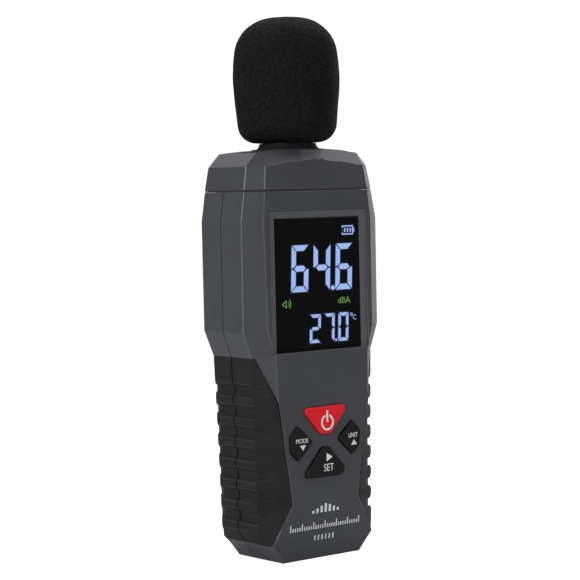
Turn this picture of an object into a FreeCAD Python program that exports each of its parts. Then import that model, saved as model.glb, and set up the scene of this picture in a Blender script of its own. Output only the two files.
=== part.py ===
"""Handheld digital sound level meter: a faceted two-shell case with rubber side grips, a one-piece
nose cap, a microphone under a pull-off foam windscreen, a lit display and four sprung keys.

Millimetres.  X to the right seen from the front, Y to the back, Z up.  The origin is on the bottom
face, on the mid-plane and on the parting plane of the two shells, which also holds the microphone's
axis.  Every size is a named cell of the sheet "Sizes"; formulas below use those names.
"""
import FreeCAD
import Part
import Sketcher
import math
import os
import re

# ---------------------------------------------------------------- driving dimensions

# The case is a stack of eight-sided slices.  For each level: height, half width of the side faces,
# half widths of the front and rear faces, depths of the front and rear faces from the parting
# plane, and where the side face ends towards the front and towards the rear.
LEVEL_SIZES = ("height", "side", "front_half", "rear_half", "front_depth", "rear_depth",
               "side_front", "side_rear")
LEVELS = {
    "base":     (0.0, 17.0, 16.7, 14.6, 13.5, 12.8, 13.0, 10.4),
    "hem":      (6.5, 22.3, 21.9, 20.4, 14.5, 14.6, 13.4, 10.0),
    "foot":     (11.0, 25.2, 19.2, 19.8, 15.4, 15.6, 10.7, 8.9),
    "pinch":    (19.7, 25.4, 14.3, 19.5, 16.2, 16.2, 10.7, 9.0),
    "bend":     (54.0, 26.0, 19.6, 19.9, 16.3, 16.2, 10.7, 9.6),
    "grip":     (69.1, 26.3, 20.1, 20.2, 16.2, 16.2, 10.7, 9.9),
    "waist":    (77.9, 29.5, 22.9, 22.9, 15.8, 15.9, 10.9, 10.6),
    "shoulder": (114.4, 29.5, 23.4, 23.4, 15.3, 15.4, 11.1, 10.6),
    "seam":     (124.2, 27.8, 22.4, 22.4, 15.0, 15.0, 10.8, 10.7),
    "ridge":    (132.5, 26.3, 21.4, 21.4, 14.3, 14.3, 10.2, 10.4),
    "brow":     (137.1, 21.8, 21.5, 21.5, 10.4, 10.4, 10.1, 10.1),
    "crown":    (138.8, 20.2, 19.9, 19.9, 9.0, 9.0, 8.7, 8.7),
}

SIZES = {
    # shells
    "shell_wall": 3.2, "corner_share": 0.41, "parting_gap": 0.3, "seam_gap": 0.5,
    "lip_inset": 2.4, "lip_height": 1.6, "fit_clearance": 0.1, "slide_clearance": 0.2,
    "beyond_reach": 60.0,
    # rubber grips and their grooves
    "grip_thickness": 1.8, "grip_gap": 0.5, "grip_corner_half": 25.1, "grip_inset": 0.2,
    "groove_depth": 1.1, "groove_fade": 0.7, "groove_pitch": 7.05, "groove_first": 58.1,
    "groove_floor": 2.5, "groove_mouth": 4.6, "groove_count": 7,
    # nose cap
    "cap_wall": 2.6, "cap_arch_radius": 190.0, "cap_arch_top": 138.35, "cap_skirt_depth": 2.4,
    "cap_skirt_wall": 1.6, "seam_groove_depth": 0.9, "brow_swell": 1.25,
    "brow_swell_radius": 150.0, "brow_swell_margin": 1.0, "brow_swell_start": 20.0,
    "neck_foot_radius": 14.25, "neck_foot_height": 134.6, "neck_top_radius": 12.6,
    "neck_top_height": 138.0, "cap_roof_height": 134.3, "cap_boss_radius": 2.6,
    "cap_screw_x": 10.5, "cap_screw_y": 6.6, "cap_shelf_height": 118.0,
    "cap_shelf_thickness": 2.2,
    # microphone and windscreen
    "collar_top_height": 140.3, "collar_top_radius": 9.7, "collar_radius": 12.4,
    "collar_flange_thickness": 0.35, "collar_round": 1.8,
    "tube_radius": 6.35, "tube_wall": 0.85, "tube_top_height": 167.0, "tube_flange_radius": 8.6,
    "tube_flange_thickness": 1.5, "tube_tail": 6.0, "capsule_radius": 4.85, "capsule_length": 6.5,
    "capsule_recess": 0.4, "grille_thickness": 1.2, "grille_hole_radius": 0.45,
    "grille_ring_radius": 2.0, "grille_outer_ring": 4.0, "foam_base_height": 140.5,
    "foam_base_radius": 16.45, "foam_widest_height": 163.0, "foam_radius": 18.6,
    "foam_shoulder_radius": 16.3, "foam_top_height": 183.0, "foam_base_round": 6.5,
    "foam_belly_round": 60.0, "foam_top_round": 13.5, "foam_bore_clearance": 0.15,
    "foam_bore_end": 171.0,
    "cable_radius": 0.8, "cable_bend_height": 128.0, "cable_bend_radius": 9.0,
    "cable_drop": 12.0,
    # display
    "window_half_width": 18.4, "window_bottom": 70.6, "window_top": 115.0, "window_depth": 14.8,
    "window_thickness": 1.5, "window_corner": 1.0, "window_edge": 0.25,
    "recess_slope": 2.5, "recess_slope_depth": 0.4,
    "ledge_width": 1.5, "ledge_thickness": 1.3, "ledge_skirt": 2.0, "tape_thickness": 0.2,
    "lcd_side_margin": 1.2, "lcd_margin": 1.3, "lcd_thickness": 1.6,
    "light_thickness": 1.8, "layer_gap": 0.1, "frame_wall": 1.9, "zebra_height": 2.0,
    "zebra_end_margin": 2.2,
    # circuit board
    "board_depth": 8.0, "board_thickness": 1.6, "board_half_width": 19.3, "board_bottom": 21.6,
    "board_top": 115.2, "board_corner": 2.0,
    "board_screw_high_x": 16.4, "board_screw_high_z": 62.5,
    "board_screw_low_x": 12.6, "board_screw_low_z": 25.0,
    "boss_radius": 2.4, "board_screw_radius": 0.9, "board_screw_length": 5.0,
    "screw_head_radius": 1.9, "screw_head_height": 1.4,
    # keys
    "key_rise": 0.9, "key_corner": 1.0, "key_edge": 0.5, "key_flange": 0.9,
    "key_flange_thickness": 1.0, "key_travel": 0.7, "key_stem_radius": 2.4, "key_gap": 0.1,
    "power_half": 8.6, "power_top": 51.6, "power_side": 49.6, "power_tip": 42.3,
    "power_tip_half": 2.0,
    "set_half": 8.4, "set_bottom": 28.1, "set_side": 30.4, "set_top": 37.8, "set_top_half": 1.7,
    "arrow_inner": 5.5, "arrow_inner_z": 40.1, "arrow_peak": 11.9, "arrow_top": 46.0,
    "arrow_bottom": 34.1, "arrow_outer": 15.4, "arrow_outer_top": 42.5, "arrow_low_outer": 15.0,
    "arrow_outer_bottom": 37.0,
    "power_stem_z": 48.0, "set_stem_z": 31.6, "arrow_stem_x": 11.6, "arrow_stem_z": 40.0,
    "mat_thickness": 1.4, "mat_half_width": 18.4, "mat_bottom": 28.2, "mat_top": 54.0,
    "pad_radius": 2.1, "pad_thickness": 0.05, "mat_hole_clearance": 0.5,
    # battery compartment and door
    "cell_radius": 5.25, "cell_length": 44.5, "cell_pitch": 10.7, "tip_radius": 1.9,
    "tip_length": 0.9, "cell_axis_depth": 8.4, "tray_wall": 1.4, "tray_bottom": 17.4,
    "cell_end_clearance": 0.6, "cell_clearance": 0.25, "plate_thickness": 0.4,
    "plate_half_width": 4.2, "spring_length": 3.6, "spring_radius": 3.0, "spring_wire": 0.3,
    "spring_turns": 3,
    "door_half_width": 16.9, "door_thickness": 1.8, "door_margin": 1.4,
    "thumb_radius": 5.5, "thumb_depth": 0.7, "door_rib_count": 4, "door_rib_pitch": 2.2,
    "door_rib_half_width": 5.0, "door_rib_height": 0.5, "door_rib_width": 0.9,
    "wire_radius": 0.55, "wire_x": 7.0, "wire_y": 5.0, "wire_rise": 9.2,
    "wire_bend_radius": 3.5,
    # fasteners and tripod thread
    "case_screw_high_x": 17.0, "case_screw_high_z": 118.6, "case_screw_low_x": 13.6,
    "case_screw_low_z": 9.4, "case_boss_radius": 2.7, "case_screw_radius": 1.1,
    "case_screw_reach": 7.0, "case_seat": 4.0, "case_head_radius": 2.2, "case_head_height": 1.8,
    "case_hole_clearance": 0.25, "case_pillar_radius": 3.0, "pillar_start": 1.6,
    "recess_width": 0.5, "recess_length": 2.0, "recess_depth": 0.8,
    "tripod_height": 95.0, "tripod_radius": 4.6, "tripod_length": 8.0, "tripod_bore": 2.55,
    "tripod_bore_length": 7.0, "tripod_boss_wall": 1.8, "tripod_flat_radius": 6.5,
    "tripod_flat_depth": 0.8,
    # electronics
    "chip_height": 90.0, "chip_half": 5.0, "chip_thickness": 1.4, "chip_corner": 1.0,
    "lead_row": 1.2, "lead_thickness": 0.3, "amp_x": -9.0, "amp_height": 107.0, "amp_half_width": 2.5,
    "amp_half_length": 3.0, "crystal_x": 11.5, "crystal_height": 78.0, "crystal_radius": 1.7,
    "crystal_length": 8.0, "crystal_rise": 3.4, "cap_can_radius": 2.5, "cap_can_length": 5.2,
    "cap_can_x": -13.0, "cap_can_first": 74.0, "cap_can_pitch": 7.0,
    "sensor_x": 16.0, "sensor_height": 110.5, "sensor_radius": 0.9, "sensor_rise": 3.0,
    "sensor_lead_radius": 0.25, "sensor_lead_spread": 0.8,
    "socket_half_width": 3.0, "socket_bottom": 104.5, "socket_top": 108.5, "socket_rise": 3.6,
}
for level, numbers in LEVELS.items():
    for size, number in zip(LEVEL_SIZES, numbers):
        SIZES[f"{level}_{size}"] = number

doc = FreeCAD.newDocument("SoundLevelMeter")
sheet = doc.addObject("Spreadsheet::Sheet", "Sizes")
for row, (alias, number) in enumerate(SIZES.items(), 1):
    sheet.set(f"A{row}", alias)
    sheet.set(f"B{row}", str(number))
    sheet.setAlias(f"B{row}", alias)
doc.recompute()

NODES = []

# ---------------------------------------------------------------- helpers


def formula(text):
    """Point every size name in a formula at its cell."""
    return re.sub(r"\b[a-z]+(_[a-z]+)+\b", lambda name: "Sizes." + name.group(), str(text))


def value(text):
    """The number that a formula gives now."""
    return float(sheet.evalExpression(formula(text)))


def bind(item, prop, text):
    item.setExpression(prop, formula(text))


def place(item, x, y, z, turn=FreeCAD.Rotation()):
    item.Placement = FreeCAD.Placement(FreeCAD.Vector(), turn)
    for axis, text in zip("xyz", (x, y, z)):
        bind(item, f"Placement.Base.{axis}", text)
    return item


def node(item, label):
    """Name a finished piece; it becomes one file."""
    item.Label = label
    NODES.append(item)
    return item


def box(name, x, y, z):
    """Block between three pairs of low and high formulas."""
    item = doc.addObject("Part::Box", name)
    for prop, (low, high) in zip(("Length", "Width", "Height"), (x, y, z)):
        bind(item, prop, f"({high}) - ({low})")
    return place(item, x[0], y[0], z[0])


ALONG = {"x": FreeCAD.Rotation(FreeCAD.Vector(0, 1, 0), 90),
         "y": FreeCAD.Rotation(FreeCAD.Vector(1, 0, 0), -90),
         "z": FreeCAD.Rotation()}


def cylinder(name, radius, length, start, axis="z"):
    """Round bar that runs from start in the positive direction of an axis."""
    item = doc.addObject("Part::Cylinder", name)
    bind(item, "Radius", radius)
    bind(item, "Height", length)
    return place(item, *start, ALONG[axis])


def cone(name, low_radius, high_radius, low, high):
    item = doc.addObject("Part::Cone", name)
    bind(item, "Radius1", low_radius)
    bind(item, "Radius2", high_radius)
    bind(item, "Height", f"({high}) - ({low})")
    return place(item, 0, 0, low)


def fuse(name, *pieces):
    item = doc.addObject("Part::MultiFuse", name)
    item.Shapes = list(pieces)
    return item


def common(name, *pieces):
    item = doc.addObject("Part::MultiCommon", name)
    item.Shapes = list(pieces)
    return item


def cut(name, base, *tools):
    item = doc.addObject("Part::Cut", name)
    item.Base = base
    item.Tool = tools[0] if len(tools) == 1 else fuse(name + "Tools", *tools)
    return item


def group(name, *pieces):
    """Separate solids that share one node."""
    item = doc.addObject("Part::Compound", name)
    item.Links = list(pieces)
    return item


def sketch(body, name, role, points, offset="0"):
    """Closed outline through points, on one of the body's own origin planes."""
    plane = next(feature for feature in body.Origin.OriginFeatures if feature.Role == role)
    item = body.newObject("Sketcher::SketchObject", name)
    item.AttachmentSupport = (plane, [""])
    item.MapMode = "FlatFace"
    bind(item, "AttachmentOffset.Base.z", offset)
    corners = [FreeCAD.Vector(value(across), value(up), 0) for across, up in points]
    for start, end in zip(corners, corners[1:] + corners[:1]):
        item.addGeometry(Part.LineSegment(start, end))
    for side in range(len(points)):
        following = (side + 1) % len(points)
        item.addConstraint(Sketcher.Constraint("Coincident", side, 2, following, 1))
    for side, (point, corner) in enumerate(zip(points, corners)):
        for kind, text, number in zip(("DistanceX", "DistanceY"), point, corner):
            index = item.addConstraint(Sketcher.Constraint(kind, -1, 1, side, 1, number))
            bind(item, f"Constraints[{index}]", text)
    return item


def pad(body, outline, length):
    item = body.newObject("PartDesign::Pad", body.Name + "Pad")
    item.Profile = outline
    bind(item, "Length", length)
    return item


def fillet(body, chosen, radius):
    """Round the edges of the body's tip that the chosen test accepts."""
    doc.recompute()
    tip = body.Tip
    names = [f"Edge{number}" for number, edge in enumerate(tip.Shape.Edges, 1) if chosen(edge)]
    item = body.newObject("PartDesign::Fillet", body.Name + "Round")
    item.Base = (tip, names)
    bind(item, "Radius", radius)
    return item


def loft(name, slices):
    """Faceted solid through eight-sided slices (level, height, side inset, face inset)."""
    body = doc.addObject("PartDesign::Body", name)
    outlines = []
    for level, height, side_inset, face_inset in slices:
        side = f"{level}_side - ({side_inset})"
        corner_front = f"{level}_side_front - ({side_inset}) * corner_share"
        corner_rear = f"{level}_side_rear - ({side_inset}) * corner_share"
        front_half = f"{level}_front_half - ({face_inset}) * corner_share"
        rear_half = f"{level}_rear_half - ({face_inset}) * corner_share"
        front = f"-({level}_front_depth - ({face_inset}))"
        rear = f"{level}_rear_depth - ({face_inset})"
        right = [(front_half, front), (side, f"-({corner_front})"), (side, corner_rear),
                 (rear_half, rear)]
        left = [(f"-({x})", y) for x, y in reversed(right)]
        outlines.append(sketch(body, f"{name}{level.title()}", "XY_Plane", right + left, height))
    item = body.newObject("PartDesign::AdditiveLoft", name + "Loft")
    item.Profile = outlines[0]
    item.Sections = outlines[1:]
    item.Ruled = True
    return body


def turned(name, points, x="0", y="0"):
    """Solid of revolution about a vertical axis from an outline of (radius, height) points."""
    body = doc.addObject("PartDesign::Body", name)
    outline = sketch(body, name + "Outline", "XZ_Plane", points)
    item = body.newObject("PartDesign::Revolution", name + "Turn")
    item.Profile = outline
    item.ReferenceAxis = (outline, ["V_Axis"])
    item.Angle = 360
    return place(body, x, y, "0")


def along_y(edge):
    """True for a straight edge that runs from front to back."""
    run = edge.Vertexes[-1].Point - edge.Vertexes[0].Point
    return abs(run.y) > 0.1 and abs(run.x) < 1e-6 and abs(run.z) < 1e-6


def at_depth(depth):
    """Test for edges that lie in one plane parallel to the front."""
    return lambda edge: abs(edge.BoundBox.YMin - depth) + abs(edge.BoundBox.YMax - depth) < 1e-4


def ring_at(radius, height):
    """Test for a level circular edge of one radius about the vertical axis."""
    return lambda edge: (abs(edge.BoundBox.ZMin - height) + abs(edge.BoundBox.ZMax - height)
                         + abs(edge.BoundBox.XMax - radius) < 0.01)


# ---------------------------------------------------------------- case envelope

CASE = ("base", "hem", "foot", "pinch", "bend", "grip", "waist", "shoulder", "seam")
GRIPPED = CASE[:6]


def case_loft(name, inset, levels=CASE, face_inset=None):
    """The envelope over some of its levels, its side and face planes moved inwards by insets."""
    face_inset = inset if face_inset is None else face_inset
    return loft(name, [(level, f"{level}_height", inset, face_inset) for level in levels])


def case_core(name, inset):
    """The envelope shrunk by one inset all round, its bottom face too."""
    return loft(name, [(level, inset if level == "base" else f"{level}_height", inset, inset)
                       for level in CASE])


hull = case_loft("Hull", "0")
cavity = case_core("Cavity", "shell_wall")
lip_core = case_core("LipCore", "lip_inset")
lip_room = case_core("LipRoom", "lip_inset - fit_clearance")

WIDE = ("-beyond_reach", "beyond_reach")
TALL = ("-beyond_reach", "3 * beyond_reach")
front_space = box("FrontSpace", WIDE, ("-beyond_reach", "-parting_gap / 2"), TALL)
rear_space = box("RearSpace", WIDE, ("parting_gap / 2", "beyond_reach"), TALL)
walls = cut("Walls", hull, cavity)
lip_slab = box("LipSlab", WIDE, ("-lip_height", "parting_gap / 2"),
               ("0", "seam_height - cap_skirt_depth - fit_clearance"))
room_slab = box("RoomSlab", WIDE, ("-lip_height - fit_clearance", "0"), TALL)

# ---------------------------------------------------------------- rubber grips

grip_core = case_loft("GripCore", "grip_thickness", GRIPPED + ("waist",))
groove_core = case_loft("GrooveCore", "groove_depth", GRIPPED + ("waist",), "-groove_fade")


def grip_outline(hand, face):
    """Front or rear view of one grip's edge: down the slanted facet to the pinch and out again."""
    inward = [("grip_corner_half", "grip_height"),
              (f"bend_{face}_half + grip_inset", "bend_height"),
              (f"pinch_{face}_half + grip_inset", "pinch_height"),
              (f"hem_{face}_half + grip_inset", "hem_height"),
              ("beyond_reach", "hem_height"), ("beyond_reach", "grip_height")]
    return [(f"{hand} * ({x})", z) for x, z in inward]


def groove_slab(number):
    """Slot tool for one groove on both sides: flat floor, sloping flanks, open outwards."""
    middle = f"(groove_first - {number} * groove_pitch)"
    floor = (f"(foot_side - groove_depth + (grip_side - foot_side) * ({middle} - foot_height)"
             " / (grip_height - foot_height))")
    mouth = (f"(groove_floor / 2 + (beyond_reach - {floor})"
             " * (groove_mouth - groove_floor) / 2 / groove_depth)")
    right = [(floor, f"{middle} + groove_floor / 2"), ("beyond_reach", f"{middle} + {mouth}"),
             ("beyond_reach", f"{middle} - {mouth}"), (floor, f"{middle} - groove_floor / 2")]
    left = [(f"-({x})", z) for x, z in reversed(right)]
    body = doc.addObject("PartDesign::Body", f"Groove{number}")
    outline = sketch(body, f"Groove{number}Outline", "XZ_Plane", right + left, "-beyond_reach")
    pad(body, outline, "2 * beyond_reach")
    return body


slabs = fuse("GrooveSlabs", *[groove_slab(number) for number in range(int(value("groove_count")))])
grooves = cut("Grooves", slabs, groove_core)

HALF = {"front": ("-beyond_reach", "0"), "rear": ("0", "beyond_reach")}
PARTED = {"front": ("-beyond_reach", "-grip_gap / 2"), "rear": ("grip_gap / 2", "beyond_reach")}
pockets = {"front": [], "rear": []}
for face in ("front", "rear"):
    for side, hand in (("left", -1), ("right", 1)):
        name = f"{face.title()}Grip{side.title()}"
        prism = doc.addObject("PartDesign::Body", name + "Prism")
        outline = sketch(prism, name + "Outline", "XZ_Plane", grip_outline(hand, face),
                         "-beyond_reach")
        pad(prism, outline, "2 * beyond_reach")
        half = box(name + "Half", WIDE, HALF[face], TALL)
        pocket = cut(name + "Pocket", common(name + "Blank", hull, prism, half), grip_core)
        pockets[face].append(pocket)
        parted = box(name + "Parted", WIDE, PARTED[face], TALL)
        node(cut(name, common(name + "Block", pocket, parted), grooves), f"{face}_grip_{side}")

# ---------------------------------------------------------------- display

WINDOW_Z = ("window_bottom", "window_top")
window_body = doc.addObject("PartDesign::Body", "Window")
window_points = [("-window_half_width", "window_bottom"), ("window_half_width", "window_bottom"),
                 ("window_half_width", "window_top"), ("-window_half_width", "window_top")]
window_outline = sketch(window_body, "WindowOutline", "XZ_Plane", window_points,
                        "window_depth - window_thickness")
pad(window_body, window_outline, "window_thickness")
fillet(window_body, along_y, "window_corner")
fillet(window_body, at_depth(-value("window_depth")), "window_edge")
node(window_body, "display_window")


def grown(low, high, margin):
    return (f"{low} - ({margin})", f"{high} + {margin}")


def frame_box(name, margin, depth):
    """Block behind the window, wider than it by a margin, between two depths from the middle."""
    return box(name, grown("-window_half_width", "window_half_width", margin), depth,
               grown("window_bottom", "window_top", margin))


TAPE_BACK = "window_depth - window_thickness - tape_thickness"
LEDGE_BACK = f"{TAPE_BACK} - ledge_thickness"
window_seat = frame_box("WindowSeat", "fit_clearance", ("-beyond_reach", f"-({TAPE_BACK})"))
window_hole = frame_box("WindowHole", "0 - ledge_width", ("-beyond_reach", f"-({LEDGE_BACK})"))
ledge = frame_box("WindowLedge", "ledge_skirt", (f"-({TAPE_BACK})", f"-({LEDGE_BACK})"))
tape_sheet = frame_box("TapeSheet", "0 - window_edge",
                       ("-(window_depth - window_thickness)", f"-({TAPE_BACK})"))
node(cut("WindowTape", tape_sheet, window_hole), "window_tape")

# The sloping rim around the window: none below it, equal bands at the sides and on top.
recess = doc.addObject("Part::Wedge", "WindowRecess")
for prop, text in {"Xmin": "-window_half_width - fit_clearance",
                   "Xmax": "window_half_width + fit_clearance",
                   "X2min": "-window_half_width - recess_slope",
                   "X2max": "window_half_width + recess_slope",
                   "Zmin": "-window_top - fit_clearance", "Zmax": "-window_bottom + fit_clearance",
                   "Z2min": "-window_top - recess_slope", "Z2max": "-window_bottom + fit_clearance",
                   "Ymin": "window_depth", "Ymax": "window_depth + recess_slope_depth"}.items():
    bind(recess, prop, text)
recess.Placement.Rotation = FreeCAD.Rotation(FreeCAD.Vector(1, 0, 0), 180)
recess_mouth = box("RecessMouth",
                   grown("-window_half_width", "window_half_width", "recess_slope"),
                   ("-beyond_reach", "-(window_depth + recess_slope_depth)"),
                   ("window_bottom - fit_clearance", "window_top + recess_slope"))

LCD_X = ("lcd_side_margin - window_half_width", "window_half_width - lcd_side_margin")
LCD_BOTTOM = "window_bottom + lcd_margin"
LCD_TOP = "window_top - lcd_margin"
LCD_FRONT = f"({LEDGE_BACK} - layer_gap)"
LCD_BACK = f"({LCD_FRONT} - lcd_thickness)"
LIGHT_FRONT = f"({LCD_BACK} - layer_gap)"
node(box("LcdPanel", LCD_X, (f"-{LCD_FRONT}", f"-{LCD_BACK}"), (LCD_BOTTOM, LCD_TOP)),
     "lcd_panel")
node(box("LightGuide", LCD_X, (f"-{LIGHT_FRONT}", f"-{LIGHT_FRONT} + light_thickness"),
         (f"{LCD_BOTTOM} + zebra_height + layer_gap", LCD_TOP)), "backlight_guide")
node(box("ZebraStrip", (f"{LCD_X[0]} + zebra_end_margin", f"{LCD_X[1]} - zebra_end_margin"),
         (f"-{LCD_BACK}", "-board_depth"), (LCD_BOTTOM, f"{LCD_BOTTOM} + zebra_height")),
     "zebra_strip")
lcd_room = box("LcdRoom", grown(*LCD_X, "layer_gap"), ("-beyond_reach", "0"),
               (f"{LCD_BOTTOM} - layer_gap", f"{LCD_TOP} + layer_gap"))
lcd_block = box("LcdBlock", grown(*LCD_X, "frame_wall"), (f"-{LCD_FRONT}", "-board_depth"),
                (f"{LCD_BOTTOM} - frame_wall", f"{LCD_TOP} + frame_wall"))
node(cut("LcdFrame", lcd_block, lcd_room), "lcd_frame")
lcd_pocket = box("LcdPocket", grown(*LCD_X, "frame_wall + layer_gap"),
                 (f"-{LCD_FRONT} - layer_gap / 2", "-board_depth"),
                 (f"{LCD_BOTTOM} - frame_wall - layer_gap", f"{LCD_TOP} + frame_wall + layer_gap"))

# ---------------------------------------------------------------- keys

KEY_FACE = "(bend_front_depth + key_rise)"
FLANGE_FRONT = "(pinch_front_depth - shell_wall - fit_clearance)"
FLANGE_BACK = f"({FLANGE_FRONT} - key_flange_thickness)"
STEM_END = "(board_depth + pad_thickness + key_gap + key_travel)"


def arrow_points(hand):
    """Five-cornered side key, pointing at the middle of the keypad."""
    points = [("arrow_inner", "arrow_inner_z"), ("arrow_peak", "arrow_bottom"),
              ("arrow_low_outer", "arrow_outer_bottom"), ("arrow_outer", "arrow_outer_top"),
              ("arrow_peak", "arrow_top")]
    return [(f"{hand} * {x}", z) for x, z in points]


def mirrored(points):
    return points + [(f"-{x}", z) for x, z in reversed(points)]


KEYS = {
    "power": (mirrored([("power_half", "power_side"), ("power_half", "power_top")][::-1]
                       + [("power_tip_half", "power_tip")]), ("0", "power_stem_z")),
    "set": (mirrored([("set_top_half", "set_top"), ("set_half", "set_side"),
                      ("set_half - key_corner", "set_bottom")]), ("0", "set_stem_z")),
    "mode": (arrow_points(-1), ("-arrow_stem_x", "arrow_stem_z")),
    "unit": (arrow_points(1), ("arrow_stem_x", "arrow_stem_z")),
}


def offset_face(name, outline, distance, corners_round):
    """Flat outline grown by a distance, its corners rounded or left sharp."""
    item = doc.addObject("Part::Offset2D", name)
    item.Source = outline
    item.Join = "Arc" if corners_round else "Intersection"
    bind(item, "Value", distance)
    return item


def pushed(name, outline, length):
    """Solid swept from a flat outline towards the back."""
    item = doc.addObject("Part::Extrusion", name)
    item.Base = outline
    item.DirMode = "Custom"
    item.Dir = FreeCAD.Vector(0, 1, 0)
    item.Solid = True
    bind(item, "LengthFwd", length)
    return item


key_openings, flange_rooms, key_stems = [], [], []
for key, (points, (stem_x, stem_z)) in KEYS.items():
    name = key.title() + "Key"
    top = doc.addObject("PartDesign::Body", name + "Top")
    outline = sketch(top, name + "Outline", "XZ_Plane", points, FLANGE_FRONT)
    pad(top, outline, f"{KEY_FACE} - {FLANGE_FRONT}")
    fillet(top, along_y, "key_corner")
    fillet(top, at_depth(-value(KEY_FACE)), "key_edge")
    flange = pushed(name + "Flange", offset_face(name + "FlangeEdge", outline, "key_flange", True),
                    "key_flange_thickness")
    stem = cylinder(name + "Stem", "key_stem_radius", f"{FLANGE_BACK} - {STEM_END}",
                    (stem_x, f"-{FLANGE_BACK}", stem_z), "y")
    node(fuse(name, top, flange, stem), f"{key}_button")
    sharp = offset_face(name + "Core", outline, "0 - key_corner", False)
    soft = offset_face(name + "Gap", sharp, "key_corner + slide_clearance", True)
    opening = pushed(name + "Opening", soft, "2 * beyond_reach")
    opening.Symmetric = True
    key_openings.append(opening)
    flange_rooms.append(pushed(name + "FlangeRoom",
                               offset_face(name + "FlangeRoomEdge", outline,
                                           "key_flange + slide_clearance", True),
                               "key_flange_thickness + key_travel + slide_clearance"))
    key_stems.append((stem_x, stem_z))

mat_sheet = box("MatSheet", ("-mat_half_width", "mat_half_width"),
                ("-board_depth - mat_thickness", "-board_depth"), ("mat_bottom", "mat_top"))
mat_holes = [cylinder(f"MatHole{number}", "key_stem_radius + mat_hole_clearance",
                      "2 * board_depth", (x, "-2 * board_depth", z), "y")
             for number, (x, z) in enumerate(key_stems)]
node(cut("KeypadMat", mat_sheet, *mat_holes), "keypad_mat")
node(group("ContactPads", *[cylinder(f"Pad{number}", "pad_radius", "pad_thickness",
                                     (x, "-board_depth - pad_thickness", z), "y")
                            for number, (x, z) in enumerate(key_stems)]), "contact_pads")

# ---------------------------------------------------------------- fasteners


def screw(name, x, z, tip, seat, radius, head_radius, head_height):
    """Self-tapping screw along Y, its head to the rear with a cross recess."""
    shaft = cylinder(name + "Shaft", radius, f"({seat}) - ({tip})", (x, tip, z), "y")
    head = cylinder(name + "Head", head_radius, head_height, (x, seat, z), "y")
    floor = f"({seat}) + {head_height} - recess_depth"
    depth = (floor, f"({seat}) + 2 * {head_height}")
    across = (f"({x}) - recess_length / 2", f"({x}) + recess_length / 2")
    narrow = (f"({x}) - recess_width / 2", f"({x}) + recess_width / 2")
    level = (f"({z}) - recess_width / 2", f"({z}) + recess_width / 2")
    upright = (f"({z}) - recess_length / 2", f"({z}) + recess_length / 2")
    return cut(name, fuse(name + "Blank", shaft, head), box(name + "Slot", across, depth, level),
               box(name + "Cross", narrow, depth, upright))


def four(high_x, high_z, low_x, low_z):
    return [(f"{hand} * {x}", z) for x, z in ((high_x, high_z), (low_x, low_z))
            for hand in (-1, 1)]


CASE_POINTS = four("case_screw_high_x", "case_screw_high_z", "case_screw_low_x",
                   "case_screw_low_z")
BOARD_POINTS = four("board_screw_high_x", "board_screw_high_z", "board_screw_low_x",
                    "board_screw_low_z")
BOARD_BACK = "(board_thickness - board_depth)"
BOSS_START = "-(seam_front_depth - shell_wall / 2)"

case_screws, front_bosses, front_pilots, rear_pillars, rear_bores = [], [], [], [], []
for number, (x, z) in enumerate(CASE_POINTS):
    case_screws.append(screw(f"CaseScrew{number}", x, z, "-case_screw_reach", "case_seat",
                             "case_screw_radius", "case_head_radius", "case_head_height"))
    front_bosses.append(cylinder(f"CaseBoss{number}", "case_boss_radius",
                                 f"pillar_start - fit_clearance - ({BOSS_START})",
                                 (x, BOSS_START, z), "y"))
    front_pilots.append(cylinder(f"CasePilot{number}", "case_screw_radius", "2 * case_screw_reach",
                                 (x, "-case_screw_reach", z), "y"))
    rear_pillars.append(cylinder(f"Pillar{number}", "case_pillar_radius",
                                 "seam_rear_depth - shell_wall / 2 - pillar_start",
                                 (x, "pillar_start", z), "y"))
    rear_bores.append(cylinder(f"PillarHole{number}", "case_screw_radius + case_hole_clearance",
                               "beyond_reach", (x, "0", z), "y"))
    rear_bores.append(cylinder(f"PillarWell{number}", "case_head_radius + case_hole_clearance",
                               "beyond_reach", (x, "case_seat", z), "y"))
node(group("CaseScrews", *case_screws), "case_screws")

board_screws, board_holes = [], []
for number, (x, z) in enumerate(BOARD_POINTS):
    board_screws.append(screw(f"BoardScrew{number}", x, z, f"{BOARD_BACK} - board_screw_length",
                              BOARD_BACK, "board_screw_radius", "screw_head_radius",
                              "screw_head_height"))
    front_bosses.append(cylinder(f"BoardBoss{number}", "boss_radius",
                                 f"-board_depth - ({BOSS_START})", (x, BOSS_START, z), "y"))
    front_pilots.append(cylinder(f"BoardPilot{number}", "board_screw_radius",
                                 "board_screw_length",
                                 (x, f"{BOARD_BACK} - board_screw_length", z), "y"))
    board_holes.append(cylinder(f"BoardHole{number}", "board_screw_radius + fit_clearance",
                                "beyond_reach", (x, "-beyond_reach / 2", z), "y"))
node(group("BoardScrews", *board_screws), "pcb_screws")

# ---------------------------------------------------------------- front shell

lip_groove = cut("LipGroove", common("LipGrooveBlank", lip_room, room_slab), cavity)
front_walls = cut("FrontWalls", common("FrontBlank", walls, front_space), lip_groove, window_seat,
                  recess, recess_mouth, *pockets["front"], *key_openings)
front_inside = fuse("FrontInside", front_walls, ledge, *front_bosses)
node(cut("FrontShell", front_inside, window_hole, lcd_pocket, *flange_rooms, *front_pilots),
     "front_shell")

# ---------------------------------------------------------------- battery compartment and door

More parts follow.
